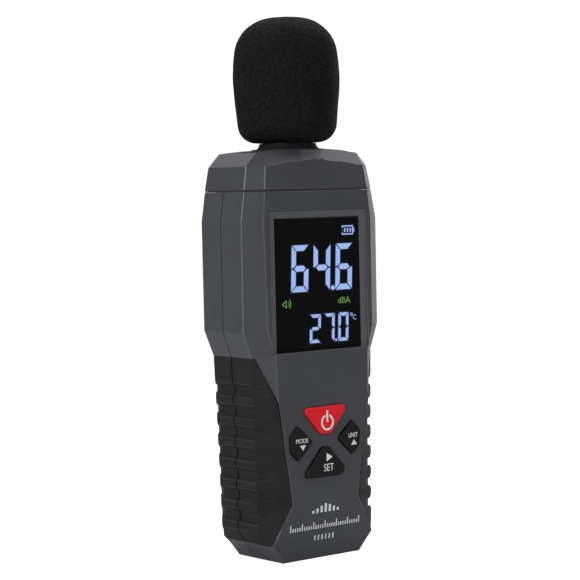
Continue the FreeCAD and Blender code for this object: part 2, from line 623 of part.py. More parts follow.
TRAY_TOP = ("(tray_bottom + cell_length + tip_length + spring_length + 2 * plate_thickness"
            " + cell_end_clearance)")
TRAY_HALF = "(cell_pitch + cell_radius + cell_clearance)"
TRAY_FLOOR = "(cell_axis_depth - cell_radius - cell_clearance)"
tray_block = box("TrayBlock", (f"-{TRAY_HALF} - tray_wall", f"{TRAY_HALF} + tray_wall"),
                 (f"{TRAY_FLOOR} - tray_wall", "grip_rear_depth - shell_wall + tray_wall / 2"),
                 ("tray_bottom - tray_wall", f"{TRAY_TOP} + tray_wall"))
tray_room = box("TrayRoom", (f"-{TRAY_HALF}", TRAY_HALF), (TRAY_FLOOR, "beyond_reach"),
                ("tray_bottom", TRAY_TOP))
door_core = case_loft("DoorCore", "door_thickness")
DOOR_Z = ("tray_bottom - door_margin", f"{TRAY_TOP} + door_margin")
BACK_HALF = (TRAY_FLOOR, "beyond_reach")


def door_plate(name, margin):
    block = box(name + "Block", grown("-door_half_width", "door_half_width", margin), BACK_HALF,
                grown(*DOOR_Z, margin))
    return cut(name, common(name + "Blank", hull, block), door_core)


door_seat = door_plate("DoorSeat", "slide_clearance")
door_sheet = door_plate("DoorSheet", "0")
thumb_height = f"({TRAY_TOP} - 2 * thumb_radius)"
thumb_dish = cylinder("ThumbDish", "thumb_radius", "beyond_reach",
                      ("0", "grip_rear_depth - thumb_depth", thumb_height), "y")
door_ribs = [box(f"DoorRib{number}", ("-door_rib_half_width", "door_rib_half_width"),
                 ("grip_rear_depth - thumb_depth - fit_clearance",
                  "grip_rear_depth - thumb_depth + door_rib_height"),
                 (f"{thumb_height} + ({number} - (door_rib_count - 1) / 2) * door_rib_pitch"
                  " - door_rib_width / 2",
                  f"{thumb_height} + ({number} - (door_rib_count - 1) / 2) * door_rib_pitch"
                  " + door_rib_width / 2"))
             for number in range(int(value("door_rib_count")))]
dished_door = cut("DishedDoor", door_sheet, thumb_dish)
rib_zone = cylinder("RibZone", "thumb_radius", "beyond_reach", ("0", "0", thumb_height), "y")
node(fuse("BatteryDoor", dished_door, common("DoorRibs", fuse("RibBars", *door_ribs), rib_zone)),
     "battery_door")


def coil_spring(name, x, low):
    """Round-wire spring made of half rings, each tilted so that it climbs half a pitch."""
    rise = "((spring_length - 2 * spring_wire) / spring_turns / 2)"
    tilt = math.degrees(math.atan2(value(rise), 2 * value("spring_radius")))
    halves = []
    for half in range(2 * int(value("spring_turns"))):
        backward = half % 2
        ring = doc.addObject("Part::Torus", f"{name}Half{half}")
        bind(ring, "Radius1", f"sqrt(spring_radius ^ 2 + ({rise} / 2) ^ 2)")
        bind(ring, "Radius2", "spring_wire")
        ring.Angle3 = 180
        turn = FreeCAD.Rotation(FreeCAD.Vector(0, 1, 0), -tilt if backward else tilt)
        if backward:
            turn = turn.multiply(FreeCAD.Rotation(FreeCAD.Vector(0, 0, 1), 180))
        halves.append(place(ring, x, "cell_axis_depth", f"{low} + ({half} + 0.5) * {rise}", turn))
    return fuse(name, *halves)


CELL_LOW = "(tray_bottom + plate_thickness + spring_length)"
PLATE_TOP = f"({TRAY_TOP} - plate_thickness)"
cells, springs, plates = [], [], []
for number in (-1, 0, 1):
    x = f"{number} * cell_pitch"
    upright = number != 0
    bottom = CELL_LOW if upright else f"({PLATE_TOP} - spring_length - cell_length)"
    can = cylinder(f"Can{number + 1}", "cell_radius", "cell_length",
                   (x, "cell_axis_depth", bottom))
    tip_base = f"{bottom} + cell_length" if upright else f"{bottom} - tip_length"
    tip = cylinder(f"Tip{number + 1}", "tip_radius", "tip_length",
                   (x, "cell_axis_depth", tip_base))
    cells.append(fuse(f"Cell{number + 1}", can, tip))
    spring_base = "(tray_bottom + plate_thickness)" if upright else f"({bottom} + cell_length)"
    springs.append(coil_spring(f"Spring{number + 1}", x, f"{spring_base} + spring_wire"))
    for end, low in (("Low", "tray_bottom"), ("High", PLATE_TOP)):
        plates.append(box(f"Plate{end}{number + 1}",
                          (f"{x} - plate_half_width", f"{x} + plate_half_width"),
                          ("cell_axis_depth - plate_half_width",
                           "cell_axis_depth + plate_half_width"),
                          (low, f"{low} + plate_thickness")))
node(group("Cells", *cells), "batteries")
node(group("Springs", *springs), "battery_springs")
node(group("Plates", *plates), "battery_contacts")

# ---------------------------------------------------------------- rear shell

TRIPOD_FACE = "(shoulder_rear_depth - tripod_flat_depth)"
tripod_boss = cylinder("TripodBoss", "tripod_radius + tripod_boss_wall",
                       "tripod_length + tripod_boss_wall",
                       ("0", f"{TRIPOD_FACE} - tripod_length - tripod_boss_wall",
                        "tripod_height"), "y")
tripod_seat = cylinder("TripodSeat", "tripod_radius", "beyond_reach",
                       ("0", f"{TRIPOD_FACE} - tripod_length", "tripod_height"), "y")
tripod_flat = cylinder("TripodFlat", "tripod_flat_radius", "beyond_reach",
                       ("0", TRIPOD_FACE, "tripod_height"), "y")
insert_can = cylinder("InsertCan", "tripod_radius", "tripod_length",
                      ("0", f"{TRIPOD_FACE} - tripod_length", "tripod_height"), "y")
insert_bore = cylinder("InsertBore", "tripod_bore", "beyond_reach",
                       ("0", f"{TRIPOD_FACE} - tripod_bore_length", "tripod_height"), "y")
node(cut("TripodInsert", insert_can, insert_bore), "tripod_insert")

shelf = box("CapShelf", ("-case_screw_high_x", "case_screw_high_x"),
            ("cap_screw_y - cap_boss_radius", "seam_rear_depth - shell_wall / 2"),
            ("cap_shelf_height", "cap_shelf_height + cap_shelf_thickness"))
shelf_holes = [cylinder(f"ShelfHole{number}", "case_screw_radius + case_hole_clearance",
                        "2 * cap_shelf_thickness",
                        (f"{hand} * cap_screw_x", "cap_screw_y",
                         "cap_shelf_height - cap_shelf_thickness / 2"))
               for number, hand in enumerate((-1, 1))]
lip = cut("Lip", common("LipBlank", lip_core, lip_slab), cavity)
rear_walls = cut("RearWalls", common("RearBlank", walls, rear_space), door_seat, tripod_flat,
                 *pockets["rear"])
rear_inside = fuse("RearInside", rear_walls, lip, tray_block, shelf, tripod_boss, *rear_pillars)
node(cut("RearShell", rear_inside, tray_room, tripod_seat, *rear_bores, *shelf_holes),
     "rear_shell")

# ---------------------------------------------------------------- nose cap

CAP_BASE = "seam_height + seam_gap"
cap_block = loft("CapBlock", [("seam", CAP_BASE, "0", "0"), ("ridge", "ridge_height", "0", "0"),
                              ("brow", "brow_height", "0", "0"),
                              ("crown", "crown_height", "0", "0")])


def brow_swell(name, face, hand):
    """Slight crown on the cap's front or rear slope: part of a large cylinder laid along it."""
    rise = "(brow_height - ridge_height)"
    run = f"(ridge_{face}_depth - brow_{face}_depth)"
    slope = f"sqrt({rise} ^ 2 + {run} ^ 2)"
    sunk = "(brow_swell_radius - brow_swell)"
    tilt = math.degrees(math.atan2(value(run), value(rise)))
    roll = doc.addObject("Part::Cylinder", name + "Roll")
    bind(roll, "Radius", "brow_swell_radius")
    bind(roll, "Height", "2 * beyond_reach")
    inward = f"(ridge_{face}_depth - {sunk} * {rise} / {slope} + brow_swell_start * {run} / {slope})"
    place(roll, "0", f"{hand} * {inward}",
          f"ridge_height - {sunk} * {run} / {slope} - brow_swell_start * {rise} / {slope}",
          FreeCAD.Rotation(FreeCAD.Vector(1, 0, 0), hand * tilt))
    half = f"(ridge_{face}_half - brow_swell_margin)"
    depth = ["0", f"{hand} * ridge_{face}_depth"][::hand]
    return common(name, roll, box(name + "Space", (f"-{half}", half), depth,
                                  ("ridge_height - brow_swell", "3 * beyond_reach")))


cap_arch = cylinder("CapArch", "cap_arch_radius", "2 * beyond_reach",
                    ("0", "-beyond_reach", "cap_arch_top - cap_arch_radius"), "y")
neck = cone("Neck", "neck_foot_radius", "neck_top_radius", "neck_foot_height", "neck_top_height")
neck_seat = cylinder("NeckSeat", "neck_top_radius", "beyond_reach", ("0", "0", "neck_top_height"))
cap_room = loft("CapRoom", [("seam", CAP_BASE, "cap_wall", "cap_wall"),
                            ("ridge", "ridge_height - cap_wall / 2", "cap_wall", "cap_wall"),
                            ("brow", "cap_roof_height", "0", "0")])
SKIRT_OUT = "shell_wall + fit_clearance"
SKIRT_IN = "shell_wall + fit_clearance + cap_skirt_wall"
SKIRT_LOW = "seam_height - cap_skirt_depth"
STEP_LOW = "seam_height + fit_clearance"
cap_skirt = loft("CapSkirt", [("seam", SKIRT_LOW, SKIRT_OUT, SKIRT_OUT),
                              ("ridge", "ridge_height", SKIRT_OUT, SKIRT_OUT)])
skirt_room = loft("SkirtRoom", [("seam", SKIRT_LOW, SKIRT_IN, SKIRT_IN),
                                ("ridge", "ridge_height", SKIRT_IN, SKIRT_IN)])
skirt_slab = box("SkirtSlab", WIDE, WIDE, (SKIRT_LOW, f"{CAP_BASE} + fit_clearance"))
web_slab = box("WebSlab", WIDE, WIDE, (CAP_BASE, f"{CAP_BASE} + cap_wall"))
seam_step = loft("SeamStep", [("seam", STEP_LOW, "seam_groove_depth", "seam_groove_depth"),
                              ("ridge", "ridge_height", "seam_groove_depth",
                               "seam_groove_depth")])
step_slab = box("StepSlab", WIDE, WIDE, (STEP_LOW, f"{CAP_BASE} + fit_clearance"))
skirt = cut("Skirt", fuse("SkirtRings", common("SkirtBlank", cap_skirt, skirt_slab),
                          common("SkirtStep", seam_step, step_slab),
                          common("SkirtWeb", cap_block, web_slab)), skirt_room)
cap_bosses, cap_pilots, cap_screws = [], [], []
BOSS_LOW = "(cap_shelf_height + cap_shelf_thickness + fit_clearance)"
for number, hand in enumerate((-1, 1)):
    x = f"{hand} * cap_screw_x"
    cap_bosses.append(cylinder(f"CapBoss{number}", "cap_boss_radius",
                               f"cap_roof_height + fit_clearance - {BOSS_LOW}",
                               (x, "cap_screw_y", BOSS_LOW)))
    cap_pilots.append(cylinder(f"CapPilot{number}", "case_screw_radius", "case_screw_reach",
                               (x, "cap_screw_y", "cap_shelf_height + cap_shelf_thickness")))
    shaft = cylinder(f"CapScrewShaft{number}", "case_screw_radius",
                     "cap_shelf_thickness + case_screw_reach",
                     (x, "cap_screw_y", "cap_shelf_height"))
    head = cylinder(f"CapScrewHead{number}", "case_head_radius", "case_head_height",
                    (x, "cap_screw_y", "cap_shelf_height - case_head_height"))
    cap_screws.append(fuse(f"CapScrew{number}", shaft, head))
node(group("CapScrews", *cap_screws), "cap_screws")
tube_hole = cylinder("TubeHole", "tube_radius + fit_clearance", "beyond_reach",
                     ("0", "0", "seam_height"))
swelled_cap = fuse("SwelledCap", cap_block, brow_swell("BrowFront", "front", -1),
                   brow_swell("BrowRear", "rear", 1))
cap_solid = cut("CapSolid", fuse("CapOuter", common("ArchedCap", swelled_cap, cap_arch), neck),
                neck_seat, cap_room)
node(cut("TopCap", fuse("CapFitted", cap_solid, skirt, *cap_bosses), tube_hole, *cap_pilots),
     "top_cap")

# ---------------------------------------------------------------- microphone and windscreen

BORE = "tube_radius + fit_clearance"
collar = turned("Collar", [(BORE, "neck_top_height"), ("collar_radius", "neck_top_height"),
                           ("collar_radius", "neck_top_height + collar_flange_thickness"),
                           ("collar_top_radius + collar_flange_thickness",
                            "neck_top_height + collar_flange_thickness"),
                           ("collar_top_radius", "collar_top_height"),
                           (BORE, "collar_top_height")])
fillet(collar, ring_at(value("collar_top_radius + collar_flange_thickness"),
                       value("neck_top_height + collar_flange_thickness")), "collar_round")
node(collar, "mic_collar")

FLANGE_TOP = "cap_roof_height"
FLANGE_LOW = "cap_roof_height - tube_flange_thickness"
TUBE_INNER = "tube_radius - tube_wall"
node(turned("MicTube", [(TUBE_INNER, f"{FLANGE_LOW} - tube_tail"),
                        ("tube_radius", f"{FLANGE_LOW} - tube_tail"),
                        ("tube_radius", FLANGE_LOW), ("tube_flange_radius", FLANGE_LOW),
                        ("tube_flange_radius", FLANGE_TOP), ("tube_radius", FLANGE_TOP),
                        ("tube_radius", "tube_top_height"), (TUBE_INNER, "tube_top_height")]),
     "mic_tube")
CAPSULE_TOP = "(tube_top_height - capsule_recess)"
CAPSULE_LOW = f"({CAPSULE_TOP} - capsule_length)"
node(cylinder("Capsule", "capsule_radius", "capsule_length", ("0", "0", CAPSULE_LOW)),
     "mic_capsule")
node(turned("Seal", [("capsule_radius", CAPSULE_LOW), (TUBE_INNER, CAPSULE_LOW),
                     (TUBE_INNER, CAPSULE_TOP), ("capsule_radius", CAPSULE_TOP)]), "mic_seal")

grille_disc = cylinder("GrilleDisc", "tube_radius", "grille_thickness",
                       ("0", "0", "tube_top_height"))
grille_holes = []
for ring, count in (("0", 1), ("grille_ring_radius", 6), ("grille_outer_ring", 12)):
    for step in range(count):
        turn = f"{step} * 360 deg / {count}"
        grille_holes.append(cylinder(f"GrilleHole{len(grille_holes)}", "grille_hole_radius",
                                     "2 * grille_thickness",
                                     (f"{ring} * cos({turn})", f"{ring} * sin({turn})",
                                      "tube_top_height - grille_thickness / 2")))
node(cut("Grille", grille_disc, *grille_holes), "mic_grille")

FOAM_BORE = "tube_radius + foam_bore_clearance"
foam = turned("Foam", [(FOAM_BORE, "foam_base_height"), ("foam_base_radius", "foam_base_height"),
                       ("foam_radius", "foam_widest_height"),
                       ("foam_shoulder_radius", "foam_top_height"), ("0", "foam_top_height"),
                       ("0", "foam_bore_end"), (FOAM_BORE, "foam_bore_end")])
for radius, height, rounding in (("foam_base_radius", "foam_base_height", "foam_base_round"),
                                 ("foam_shoulder_radius", "foam_top_height", "foam_top_round"),
                                 ("foam_radius", "foam_widest_height", "foam_belly_round")):
    fillet(foam, ring_at(value(radius), value(height)), rounding)
node(foam, "windscreen")

# ---------------------------------------------------------------- circuit board and its parts

board_body = doc.addObject("PartDesign::Body", "Board")
board_points = [("-board_half_width", "board_bottom"), ("board_half_width", "board_bottom"),
                ("board_half_width", "board_top"), ("-board_half_width", "board_top")]
board_outline = sketch(board_body, "BoardOutline", "XZ_Plane", board_points,
                       "board_depth - board_thickness")
pad(board_body, board_outline, "board_thickness")
fillet(board_body, along_y, "board_corner")
node(cut("MainBoard", board_body, *board_holes), "main_pcb")


def on_board(rise):
    return (BOARD_BACK, f"{BOARD_BACK} + {rise}")


def block_at(name, x, z, half_width, half_height, depth):
    return box(name, (f"({x}) - {half_width}", f"({x}) + {half_width}"), depth,
               (f"({z}) - {half_height}", f"({z}) + {half_height}"))


chip = block_at("Chip", "0", "chip_height", "chip_half", "chip_half", on_board("chip_thickness"))
leads = block_at("ChipLeads", "0", "chip_height", "(chip_half + lead_row)",
                 "(chip_half - chip_corner)", on_board("lead_thickness"))
leads_across = block_at("ChipLeadsAcross", "0", "chip_height", "(chip_half - chip_corner)",
                        "(chip_half + lead_row)", on_board("lead_thickness"))
node(fuse("Processor", chip, leads, leads_across), "processor_chip")
amp = block_at("Amp", "amp_x", "amp_height", "amp_half_width", "amp_half_length",
               on_board("chip_thickness"))
amp_leads = block_at("AmpLeads", "amp_x", "amp_height", "(amp_half_width + lead_row)",
                     "(amp_half_length - lead_row)", on_board("lead_thickness"))
node(fuse("Amplifier", amp, amp_leads), "amplifier_chip")
CRYSTAL_AXIS = f"{BOARD_BACK} + crystal_rise / 2"
node(fuse("Crystal",
          cylinder("CrystalLow", "crystal_radius", "crystal_rise",
                   ("crystal_x", BOARD_BACK, "crystal_height"), "y"),
          box("CrystalMiddle", ("crystal_x - crystal_radius", "crystal_x + crystal_radius"),
              on_board("crystal_rise"), ("crystal_height", "crystal_height + crystal_length")),
          cylinder("CrystalHigh", "crystal_radius", "crystal_rise",
                   ("crystal_x", BOARD_BACK, "crystal_height + crystal_length"), "y")),
     "crystal")
node(group("Capacitors", *[cylinder(f"Capacitor{number}", "cap_can_radius", "cap_can_length",
                                    ("cap_can_x", BOARD_BACK,
                                     f"cap_can_first + {number} * cap_can_pitch"), "y")
                           for number in range(3)]), "capacitors")
bead = doc.addObject("Part::Sphere", "Bead")
bind(bead, "Radius", "sensor_radius")
place(bead, "sensor_x", f"{BOARD_BACK} + sensor_rise", "sensor_height")
sensor_legs = [cylinder(f"SensorLeg{number}", "sensor_lead_radius", "sensor_rise",
                        (f"sensor_x + {hand} * sensor_lead_spread / 2", BOARD_BACK,
                         "sensor_height"), "y") for number, hand in enumerate((-1, 1))]
node(fuse("Sensor", bead, *sensor_legs), "temperature_sensor")
node(box("MicSocket", ("-socket_half_width", "socket_half_width"), on_board("socket_rise"),
         ("socket_bottom", "socket_top")), "mic_socket")


def wire(name, corners, radius, bend):
    """Round cable along straight runs joined by tangent arcs of one radius."""
    points = [FreeCAD.Vector(*[value(text) for text in corner]) for corner in corners]
    edges, start = [], points[0]
    for before, corner, after in zip(points, points[1:], points[2:]):
        back, ahead = (before - corner).normalize(), (after - corner).normalize()
        half_angle = back.getAngle(ahead) / 2
        trim = value(bend) / math.tan(half_angle)
        sagitta = value(bend) / math.sin(half_angle) - value(bend)
        first, last = corner + back * trim, corner + ahead * trim
        middle = corner + (back + ahead).normalize() * sagitta
        edges += [Part.LineSegment(start, first).toShape(),
                  Part.Arc(first, middle, last).toShape()]
        start = last
    edges.append(Part.LineSegment(start, points[-1]).toShape())
    section = Part.Wire(Part.makeCircle(value(radius), points[0], points[1] - points[0]))
    item = doc.addObject("Part::Feature", name)
    item.Shape = Part.Wire(edges).makePipeShell([section], True, False)
    return item


SOCKET_ENTRY = f"{BOARD_BACK} + socket_rise / 2"
node(wire("MicCable", [("0", "0", CAPSULE_LOW), ("0", "0", "cable_bend_height"),
                       ("0", SOCKET_ENTRY, "cable_bend_height - cable_drop"),
                       ("0", SOCKET_ENTRY, "socket_top")], "cable_radius", "cable_bend_radius"),
     "mic_cable")
wires = [wire(f"BatteryWire{number}",
              [(f"{hand} * wire_x", "wire_y", f"{TRAY_TOP} + tray_wall"),
               (f"{hand} * wire_x", "wire_y", f"{TRAY_TOP} + wire_rise"),
               (f"{hand} * wire_x", BOARD_BACK, f"{TRAY_TOP} + wire_rise")],
              "wire_radius", "wire_bend_radius") for number, hand in enumerate((-1, 1))]
node(group("BatteryWires", *wires), "battery_wires")

# ---------------------------------------------------------------- checks and files

doc.recompute()
faults = [item.Name for item in doc.Objects if {"Invalid", "Error"} & set(item.State)]
faults += [item.Label for item in NODES
           if item.Shape.isNull() or not item.Shape.isValid() or not item.Shape.Solids]
if faults:
    raise RuntimeError("failed objects: " + ", ".join(faults))

os.makedirs("parts", exist_ok=True)
for item in NODES:
    item.Shape.exportStep(f"parts/{item.Label}.step")
    print(f"{item.Label:20s} solids {len(item.Shape.Solids):3d}  volume {item.Shape.Volume:10.2f}")
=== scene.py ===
"""Looks of the handheld sound level meter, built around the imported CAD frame.  Metres."""
import math

import bmesh
import bpy
from mathutils import Matrix, Vector, noise
from mathutils.bvhtree import BVHTree


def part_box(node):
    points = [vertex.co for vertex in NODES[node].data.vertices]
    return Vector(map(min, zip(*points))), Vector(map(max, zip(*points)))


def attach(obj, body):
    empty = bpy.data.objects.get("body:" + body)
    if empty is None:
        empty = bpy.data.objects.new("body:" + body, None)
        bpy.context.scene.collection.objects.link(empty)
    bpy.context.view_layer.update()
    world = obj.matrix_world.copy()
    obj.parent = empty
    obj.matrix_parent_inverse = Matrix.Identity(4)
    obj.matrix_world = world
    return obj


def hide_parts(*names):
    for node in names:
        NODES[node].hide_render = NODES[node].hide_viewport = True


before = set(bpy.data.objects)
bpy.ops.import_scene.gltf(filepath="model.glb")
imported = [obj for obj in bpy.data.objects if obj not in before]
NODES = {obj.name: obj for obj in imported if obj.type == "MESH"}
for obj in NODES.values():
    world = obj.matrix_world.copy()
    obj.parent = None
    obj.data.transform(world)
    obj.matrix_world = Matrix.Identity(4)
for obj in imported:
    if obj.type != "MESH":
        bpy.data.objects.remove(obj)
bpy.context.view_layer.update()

MM = 0.001
scene = bpy.context.scene

# ---------------------------------------------------------------- camera


def aim_camera(turn, pitch, roll, distance, aside, height, lens):
    """Camera to the object's left; angles in degrees, lengths in millimetres."""
    turn, pitch, roll = (math.radians(angle) for angle in (turn, pitch, roll))
    forward = Vector((math.sin(turn) * math.cos(pitch), math.cos(turn) * math.cos(pitch),
                      -math.sin(pitch)))
    level = Vector((math.cos(turn), -math.sin(turn), 0))
    upright = level.cross(forward)
    right = level * math.cos(roll) + upright * math.sin(roll)
    up = upright * math.cos(roll) - level * math.sin(roll)
    data = bpy.data.cameras.new("camera")
    data.sensor_width = 36
    data.lens = lens
    data.clip_start = 0.01
    camera = bpy.data.objects.new("camera", data)
    scene.collection.objects.link(camera)
    turned = Matrix((right, up, -forward)).transposed().to_4x4()
    place = (Vector((0, 0, height)) + right * aside - forward * distance) * MM
    camera.matrix_world = Matrix.Translation(place) @ turned
    scene.camera = camera


aim_camera(turn=39.15, pitch=2.98, roll=-1.30, distance=659.3, aside=-0.31, height=90.35,
           lens=119.6)
scene.view_settings.view_transform = "Standard"

# ---------------------------------------------------------------- materials


def new_material(name):
    made = bpy.data.materials.new(name)
    made.use_nodes = True
    return made, made.node_tree.nodes, made.node_tree.links, made.node_tree.nodes["Principled BSDF"]


def ranged(nodes, links, source, low, high):
    item = nodes.new("ShaderNodeMapRange")
    item.inputs["From Min"].default_value = 0.3
    item.inputs["From Max"].default_value = 0.7
    item.inputs["To Min"].default_value = low
    item.inputs["To Max"].default_value = high
    links.new(source, item.inputs["Value"])
    return item.outputs["Result"]


def noise_node(nodes, links, place, scale, detail=3.0, stretch=None):
    source = place
    if stretch:
        mapping = nodes.new("ShaderNodeMapping")
        mapping.inputs["Scale"].default_value = stretch
        links.new(place, mapping.inputs["Vector"])
        source = mapping.outputs["Vector"]
    item = nodes.new("ShaderNodeTexNoise")
    item.inputs["Scale"].default_value = scale
    item.inputs["Detail"].default_value = detail
    links.new(source, item.inputs["Vector"])
    return item.outputs["Fac"]


def blend_colours(nodes, links, factor, first, second):
    item = nodes.new("ShaderNodeMix")
    item.data_type = "RGBA"
    item.inputs[6].default_value = (*first, 1)
    item.inputs[7].default_value = (*second, 1)
    links.new(factor, item.inputs[0])
    return item.outputs[2]


def surface(name, colour, rough, grain=5000.0, bump=0.2, depth=0.03, mottle=0.06, spread=0.05,
            patch=90.0, metal=0.0, specular=0.5, sheen=0.0, stretch=None, second=None):
    """Moulded or machined surface: fine grain in the relief, slow patches in colour and gloss."""
    made, nodes, links, shader = new_material(name)
    place = nodes.new("ShaderNodeTexCoord").outputs["Object"]
    patches = noise_node(nodes, links, place, patch, 4.0, stretch)
    factor = ranged(nodes, links, patches, 0, 1)
    dark = tuple(c * (1 - mottle) for c in colour)
    light = second or tuple(c * (1 + mottle) for c in colour)
    links.new(blend_colours(nodes, links, factor, dark, light), shader.inputs["Base Color"])
    fine = noise_node(nodes, links, place, grain, 2.0, stretch)
    links.new(ranged(nodes, links, fine, rough - spread, rough + spread),
              shader.inputs["Roughness"])
    relief = nodes.new("ShaderNodeBump")
    relief.inputs["Strength"].default_value = bump
    relief.inputs["Distance"].default_value = depth * MM
    links.new(fine, relief.inputs["Height"])
    links.new(relief.outputs["Normal"], shader.inputs["Normal"])
    shader.inputs["Metallic"].default_value = metal
    shader.inputs["Specular IOR Level"].default_value = specular
    shader.inputs["Sheen Weight"].default_value = sheen
    return made


UNLIT_COLOUR = (0.01, 0.01, 0.012)


def lit(name, colour, strength):
    """Display element that glows, a little uneven as a backlight is."""
    made, nodes, links, shader = new_material(name)
    place = nodes.new("ShaderNodeTexCoord").outputs["Object"]
    factor = ranged(nodes, links, noise_node(nodes, links, place, 160.0), 0, 1)
    dark = tuple(c * 0.9 for c in colour)
    links.new(blend_colours(nodes, links, factor, dark, colour), shader.inputs["Emission Color"])
    shader.inputs["Emission Strength"].default_value = strength
    shader.inputs["Base Color"].default_value = (*UNLIT_COLOUR, 1)
    shader.inputs["Roughness"].default_value = 0.35
    shader.inputs["Specular IOR Level"].default_value = 0.2
    return made


def foam_material(name, colour):
    """Open-cell black foam with painted shade in the pores and painted highlight on the cell walls.
    """
    made, nodes, links, shader = new_material(name)
    place = nodes.new("ShaderNodeTexCoord").outputs["Object"]
    cells = nodes.new("ShaderNodeTexVoronoi")
    cells.inputs["Scale"].default_value = 1500
    links.new(place, cells.inputs["Vector"])
    factor = nodes.new("ShaderNodeMapRange")
    factor.inputs["From Min"].default_value = 0.15
    factor.inputs["From Max"].default_value = 0.75
    links.new(cells.outputs["Distance"], factor.inputs["Value"])
    # Colour painted darker in the pits, as shade in the pores, and lighter on the cell walls, as
    # highlight.
    dark = tuple(c * 0.45 for c in colour)
    light = tuple(c * 1.7 for c in colour)
    links.new(blend_colours(nodes, links, factor.outputs["Result"], dark, light),
              shader.inputs["Base Color"])
    relief = nodes.new("ShaderNodeBump")
    relief.inputs["Strength"].default_value = 0.8
    relief.inputs["Distance"].default_value = 0.25 * MM
    links.new(cells.outputs["Distance"], relief.inputs["Height"])
    links.new(relief.outputs["Normal"], shader.inputs["Normal"])
    shader.inputs["Roughness"].default_value = 0.85
    shader.inputs["Specular IOR Level"].default_value = 0.08
    return made


# Length of one band of the wave texture, in its own units.
WAVE_LENGTH = 3.2


def banded(name, first, second, pitch, rough, metal):
    """Two colours in level bands, pitch in mm, with a soft noise on the gloss."""
    made, nodes, links, shader = new_material(name)
    place = nodes.new("ShaderNodeTexCoord").outputs["Object"]
    wave = nodes.new("ShaderNodeTexWave")
    wave.bands_direction = "Z"
    wave.wave_profile = "SAW"
    wave.inputs["Scale"].default_value = 1 / (pitch * MM) / WAVE_LENGTH
    links.new(place, wave.inputs["Vector"])
    step = nodes.new("ShaderNodeMapRange")
    step.inputs["From Min"].default_value = 0.70
    step.inputs["From Max"].default_value = 0.72
    links.new(wave.outputs["Fac"], step.inputs["Value"])
    links.new(blend_colours(nodes, links, step.outputs["Result"], first, second),
              shader.inputs["Base Color"])
    links.new(ranged(nodes, links, noise_node(nodes, links, place, 900.0), rough - 0.05,
                     rough + 0.08), shader.inputs["Roughness"])
    shader.inputs["Metallic"].default_value = metal
    return made


